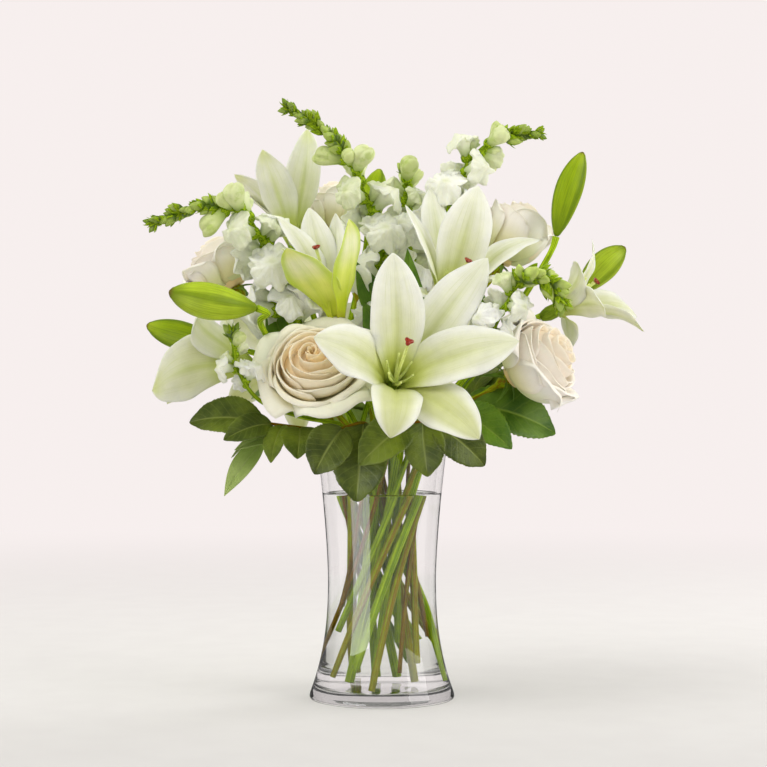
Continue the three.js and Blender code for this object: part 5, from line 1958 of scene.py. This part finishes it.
# %% Glass and water finishes
def clear_finish(name, ior, ripple_scale, ripple_strength):
    """Slightly uneven, as blown glass and water near stems are."""
    tint = (0.996, 0.999, 0.998, 1)
    finish = Finish(name, Roughness=0.0, IOR=ior, Transmission_Weight=1.0)
    finish.paint(tint)
    finish.bump(finish.noise(finish.place(), ripple_scale, 2.0, 0.4), ripple_strength, 0.001)
    through = finish.add("BsdfTransparent", Color=tint).outputs[0]
    asks_for_shadow = finish.add("LightPath").outputs["Is Shadow Ray"]
    finish.shows(finish.choose(asks_for_shadow, finish.shader.outputs[0], through))
    return finish.material


clear_glass = clear_finish("clear_glass", 1.45, 30.0, 0.04)
still_water = clear_finish("still_water", 1.33, 60.0, 0.03)
print("clear finishes:", clear_glass.name, still_water.name)

# %% Turn the vase
ON_AXIS = 0.01
WELL_TOP = 12.0
FOOT_ROUNDING = 6.0
LIP_ROUNDING = 1.9
mid_rim = RIM_RADIUS - GLASS_WALL / 2
inner_rim = RIM_RADIUS - GLASS_WALL
wall_heights = np.linspace(WELL_TOP, VASE_HEIGHT - 2.2, 48)
outside = np.stack([outer_radius(wall_heights), wall_heights], -1)
inside = outside[::-1] - [GLASS_WALL, 0]
lip_start = (RIM_RADIUS - 0.05, VASE_HEIGHT - LIP_ROUNDING)
lip_end = (inner_rim + 0.05, VASE_HEIGHT - LIP_ROUNDING)
lip = rounded((RIM_RADIUS, VASE_HEIGHT), lip_start, (mid_rim, VASE_HEIGHT))
lip_in = rounded((inner_rim, VASE_HEIGHT), (mid_rim, VASE_HEIGHT), lip_end)
foot_end = (outer_radius(FOOT_ROUNDING), FOOT_ROUNDING)
foot = rounded((FOOT_RADIUS, 0), (FOOT_RADIUS - 3, 0), foot_end, 8)
well_radius = outer_radius(WELL_TOP) - GLASS_WALL
well = rounded((well_radius, GLASS_FLOOR), (well_radius - 0.2, 11.5), (well_radius - 9, GLASS_FLOOR), 8)
# The underside is hollow by nearly a millimetre, so the vase stands on a ring.
hollow_foot = [(ON_AXIS, 0.9), (30, 0.9), (46, 0.7), (49, 0.35), (51, 0)]
flat_floor = [(20, GLASS_FLOOR), (ON_AXIS, GLASS_FLOOR)]
outline = [*hollow_foot, *foot, *outside, *lip[1:], *lip_in[1:], *inside, *well[1:], *flat_floor]
glass = Bunch()
turned(glass, outline)
stand_for("clear_vase", glass, [clear_glass], "vase")
print("vase:", len(outline), "rings,", triangles["clear_vase"], "triangles")

# %% Fill in the water
INTO_WALL = 0.12
# Steps in from the wall and up from the level: the water climbs the glass a little.
MENISCUS = [(0, 1.3), (0.5, 0.75), (1.3, 0.25), (2.6, 0), (12, 0)]
heights = np.linspace(WELL_TOP, WATER_LEVEL, 50)
wet_wall = np.stack([outer_radius(heights) - GLASS_WALL + INTO_WALL, heights], -1)
wet_floor = [(r, z - INTO_WALL) for r, z in (*flat_floor[::-1], *well[::-1])]
brim = wet_wall[-1, 0]
surface = [(brim - inwards, WATER_LEVEL + up) for inwards, up in MENISCUS]
surface += [(brim / 2, WATER_LEVEL), (ON_AXIS, WATER_LEVEL)]
pool = Bunch()
turned(pool, [*wet_floor, *wet_wall, *surface])
stand_for("vase_water", pool, [still_water], "water")
print("water:", triangles["vase_water"], "triangles, brim radius", round(brim, 2))


# %% [markdown]
# ## Floor, light and camera
#
# The picture is a bright studio shot: a pale sweep with no horizon, one large soft lamp high on the
# left, fill from everywhere else. The sweep here is a wide floor that fades into the sky's colour with
# distance from the vase. Its colour is painted a little darker in front, a painted shade for the weaker
# light there. Rays that a glossy petal or the glass throws back meet a dim grey, not the bright sweep,
# because the sides of a real studio are dark. Two dark cards, which only bent and mirrored rays can
# see, draw the fine dark lines at the vase's edges.

# %% Finish of the floor
SKY = (0.93, 0.865, 0.855, 1)
GLOSS = (0.12, 0.12, 0.12, 1)
FLOOR_SHADES = ((0.73, 0.714, 0.703, 1), (0.745, 0.73, 0.718, 1))


def floor_finish():
    """A matt floor near the vase, the sky's own colour far from it."""
    finish = Finish("pale_floor", Roughness=0.75, Specular_IOR_Level=0.0)
    grain = finish.noise(finish.place(), 25.0, 3.0, 0.5)
    shade = finish.mix(finish.spread(grain, 0.3, 0.7), *FLOOR_SHADES)
    # Painted shade: the floor's colour is darker towards the front, where less light reaches it.
    depth = finish.add("SeparateXYZ", Vector=finish.place()).outputs["Y"]
    finish.paint(finish.lightened(shade, finish.spread(depth, -0.35, 0.12, 0.84, 1.0)))
    finish.bump(finish.noise(finish.place(), 400.0, 3.0, 0.6), 0.05, 0.0005)
    away = finish.add("VectorMath", Vector=finish.place())
    away.operation = "LENGTH"
    far = finish.spread(away.outputs["Value"], 0.2, 1.9)
    sky = finish.add("Emission", Color=SKY, Strength=1.0).outputs[0]
    dim = finish.add("Emission", Color=GLOSS, Strength=1.0).outputs[0]
    path = finish.add("LightPath").outputs
    thrown_back = finish.math("SUBTRACT", path["Is Glossy Ray"], path["Is Transmission Ray"])
    sweep = finish.choose(far, finish.shader.outputs[0], sky)
    finish.shows(finish.choose(finish.math("MAXIMUM", thrown_back, 0.0), sweep, dim))
    return finish.material


pale_floor = floor_finish()
print("floor finish:", pale_floor.name)


# %% Floor
def stage_disc(name, radius, finish, sides=96):
    turn = np.linspace(0, 2 * math.pi, sides, endpoint=False)
    points = np.concatenate([[[0, 0, 0]], radius * np.stack([np.cos(turn), np.sin(turn), 0 * turn], -1)])
    index = np.arange(sides) + 1
    faces = np.stack([np.zeros(sides, int), index, np.roll(index, -1)], -1)
    disc = Bunch()
    disc.add(points, np.zeros((0, 4), int), faces, np.zeros((len(points), 2)))
    to_object(name, disc, [finish])


stage_disc("floor", 30000, pale_floor)
print("floor: a disc of 30 m round the vase")

# %% [markdown]
# ## The room's light
#
# One world would have to be both a pale backdrop and a gentle light, and it can't. The camera sees the
# pale sky, also through glass, and the flowers get a dimmer fill. That fill is weakest from behind the
# camera and strongest from behind the flowers, which keeps the shades between the petals. A flower
# seen through the vase has to get the same light as the others, so the rays are told apart by what
# they have met on their way, not by what they last met.

# %% Sky
FILL = (0.80, 0.785, 0.76, 1)
ROOM_BEHIND_CAMERA = 0.78
ROOM_BEHIND_FLOWERS = 1.15
DIMMED_BY_GLOSS = 0.1


def studio_sky():
    """Pale for the camera, a dimmer fill for what lights the flowers, dim for what they mirror."""
    world = bpy.data.worlds.new("studio")
    bpy.context.scene.world = world
    world.use_nodes = True
    sky = Nodes(world.node_tree)
    path = sky.add("LightPath").outputs
    backdrop = sky.tree.nodes["Background"]
    sky.feed(backdrop, "Color", SKY)
    mirrored = sky.math("SUBTRACT", path["Glossy Depth"], path["Diffuse Depth"], clamped=True)
    towards = sky.add("SeparateXYZ", Vector=sky.add("TexCoord").outputs["Generated"]).outputs["Y"]
    room = sky.spread(towards, -1.0, 1.0, ROOM_BEHIND_CAMERA, ROOM_BEHIND_FLOWERS, "LINEAR")
    fill = sky.add("Background", Color=sky.mix(mirrored, FILL, GLOSS), Strength=room)
    either = sky.math("MAXIMUM", path["Is Camera Ray"], path["Is Transmission Ray"])
    met = sky.math("MULTIPLY_ADD", path["Glossy Depth"], DIMMED_BY_GLOSS, path["Diffuse Depth"])
    direct = sky.math("SUBTRACT", either, met, clamped=True)
    lit = sky.choose(direct, fill.outputs[0], backdrop.outputs[0])
    sky.feed(sky.tree.nodes["World Output"], "Surface", lit)


studio_sky()
print("sky:", bpy.context.scene.world.name)


# %% Lamps
def soft_lamp(name, place, towards, size, watts, colour=(1, 1, 1), lights=True, mirrored=False):
    """An area lamp. If mirrored, petals and glass show it. If it doesn't light, they only show it."""
    data = bpy.data.lights.new(name, "AREA")
    data.shape = "RECTANGLE"
    data.size, data.size_y = size
    data.energy = watts
    data.color = colour
    lamp = bpy.data.objects.new(name, data)
    lamp.location = Vector(place)
    lamp.rotation_mode = "QUATERNION"
    lamp.rotation_quaternion = (Vector(towards) - Vector(place)).to_track_quat("-Z", "Y")
    lamp.visible_camera = False
    lamp.visible_transmission = False
    lamp.visible_diffuse = lights
    lamp.visible_glossy = mirrored
    bpy.context.scene.collection.objects.link(lamp)


soft_lamp("window_left", (-1.05, -0.5, 1.6), (0, 0, 0.25), (1.3, 1.3), watts=15, colour=(1.0, 0.99, 0.965))
soft_lamp("rim_right", (1.2, 0.9, 1.0), (0, 0, 0.3), (0.6, 0.6), watts=5)
soft_lamp(
    "fill_right",
    (1.7, -0.8, 1.0),
    (0, 0, 0.3),
    (1.3, 1.3),
    watts=17,
    colour=(1.0, 0.99, 0.98),
    mirrored=True,
)
soft_lamp(
    "tall_reflection",
    (-0.335, -0.37, 0.07),
    (0, 0, 0.07),
    (0.34, 0.12),
    watts=0.85,
    lights=False,
    mirrored=True,
)

# %% Dark cards for the edges of the glass
CARD_DISTANCE = 420
CARD_DEPTHS = (100, 310)
CARD_HEIGHTS = (4, 380)
CARD_BLACK = (0.012, 0.016, 0.010, 1)


def dark_card(name, x):
    """An upright card beside the bouquet and behind it, which neither shades nor lights anything."""
    finish = Finish(name + "_black", Roughness=0.9)
    finish.paint(CARD_BLACK)
    (near, far), (low, high) = CARD_DEPTHS, CARD_HEIGHTS
    corners = np.array([[x, near, low], [x, far, low], [x, far, high], [x, near, high]], float)
    card = Bunch()
    card.add(corners, np.array([[0, 1, 2, 3]]), NO_THREES, np.zeros((4, 2)))
    made = to_object(name, card, [finish.material])
    made.visible_camera = False
    made.visible_diffuse = False
    made.visible_shadow = False


dark_card("card_left", -CARD_DISTANCE)
dark_card("card_right", CARD_DISTANCE)
print("cards stand", CARD_DISTANCE, "mm to each side")

# %% [markdown]
# ## The camera
#
# It stands 1.4 m from the vase's axis, at half the bouquet's height and turned up by half a degree, with
# a long lens, as such a picture is taken. The colours leave Blender without a film look, because the
# finishes were matched to the colours seen on a screen.

# %% Camera at the photograph's place
CAMERA_PLACE = (0.0012, -1.4, 0.230)
TURNED_UP = 0.573
LENS = 84.3
SENSOR = 36

camera_data = bpy.data.cameras.new("camera")
camera_data.sensor_width = SENSOR
camera_data.lens = LENS
camera_data.clip_end = 100
camera = bpy.data.objects.new("camera", camera_data)
camera.location = CAMERA_PLACE
camera.rotation_euler = (math.radians(90 + TURNED_UP), 0, 0)
bpy.context.scene.collection.objects.link(camera)
bpy.context.scene.camera = camera
bpy.context.scene.view_settings.view_transform = "Standard"
print("camera at", CAMERA_PLACE, "with a lens of", LENS, "mm")

# %% Count the triangles of the dressed bouquet, and finish
print("triangles in all:", sum(triangles.values()), "largest piece:", max(triangles.values()))
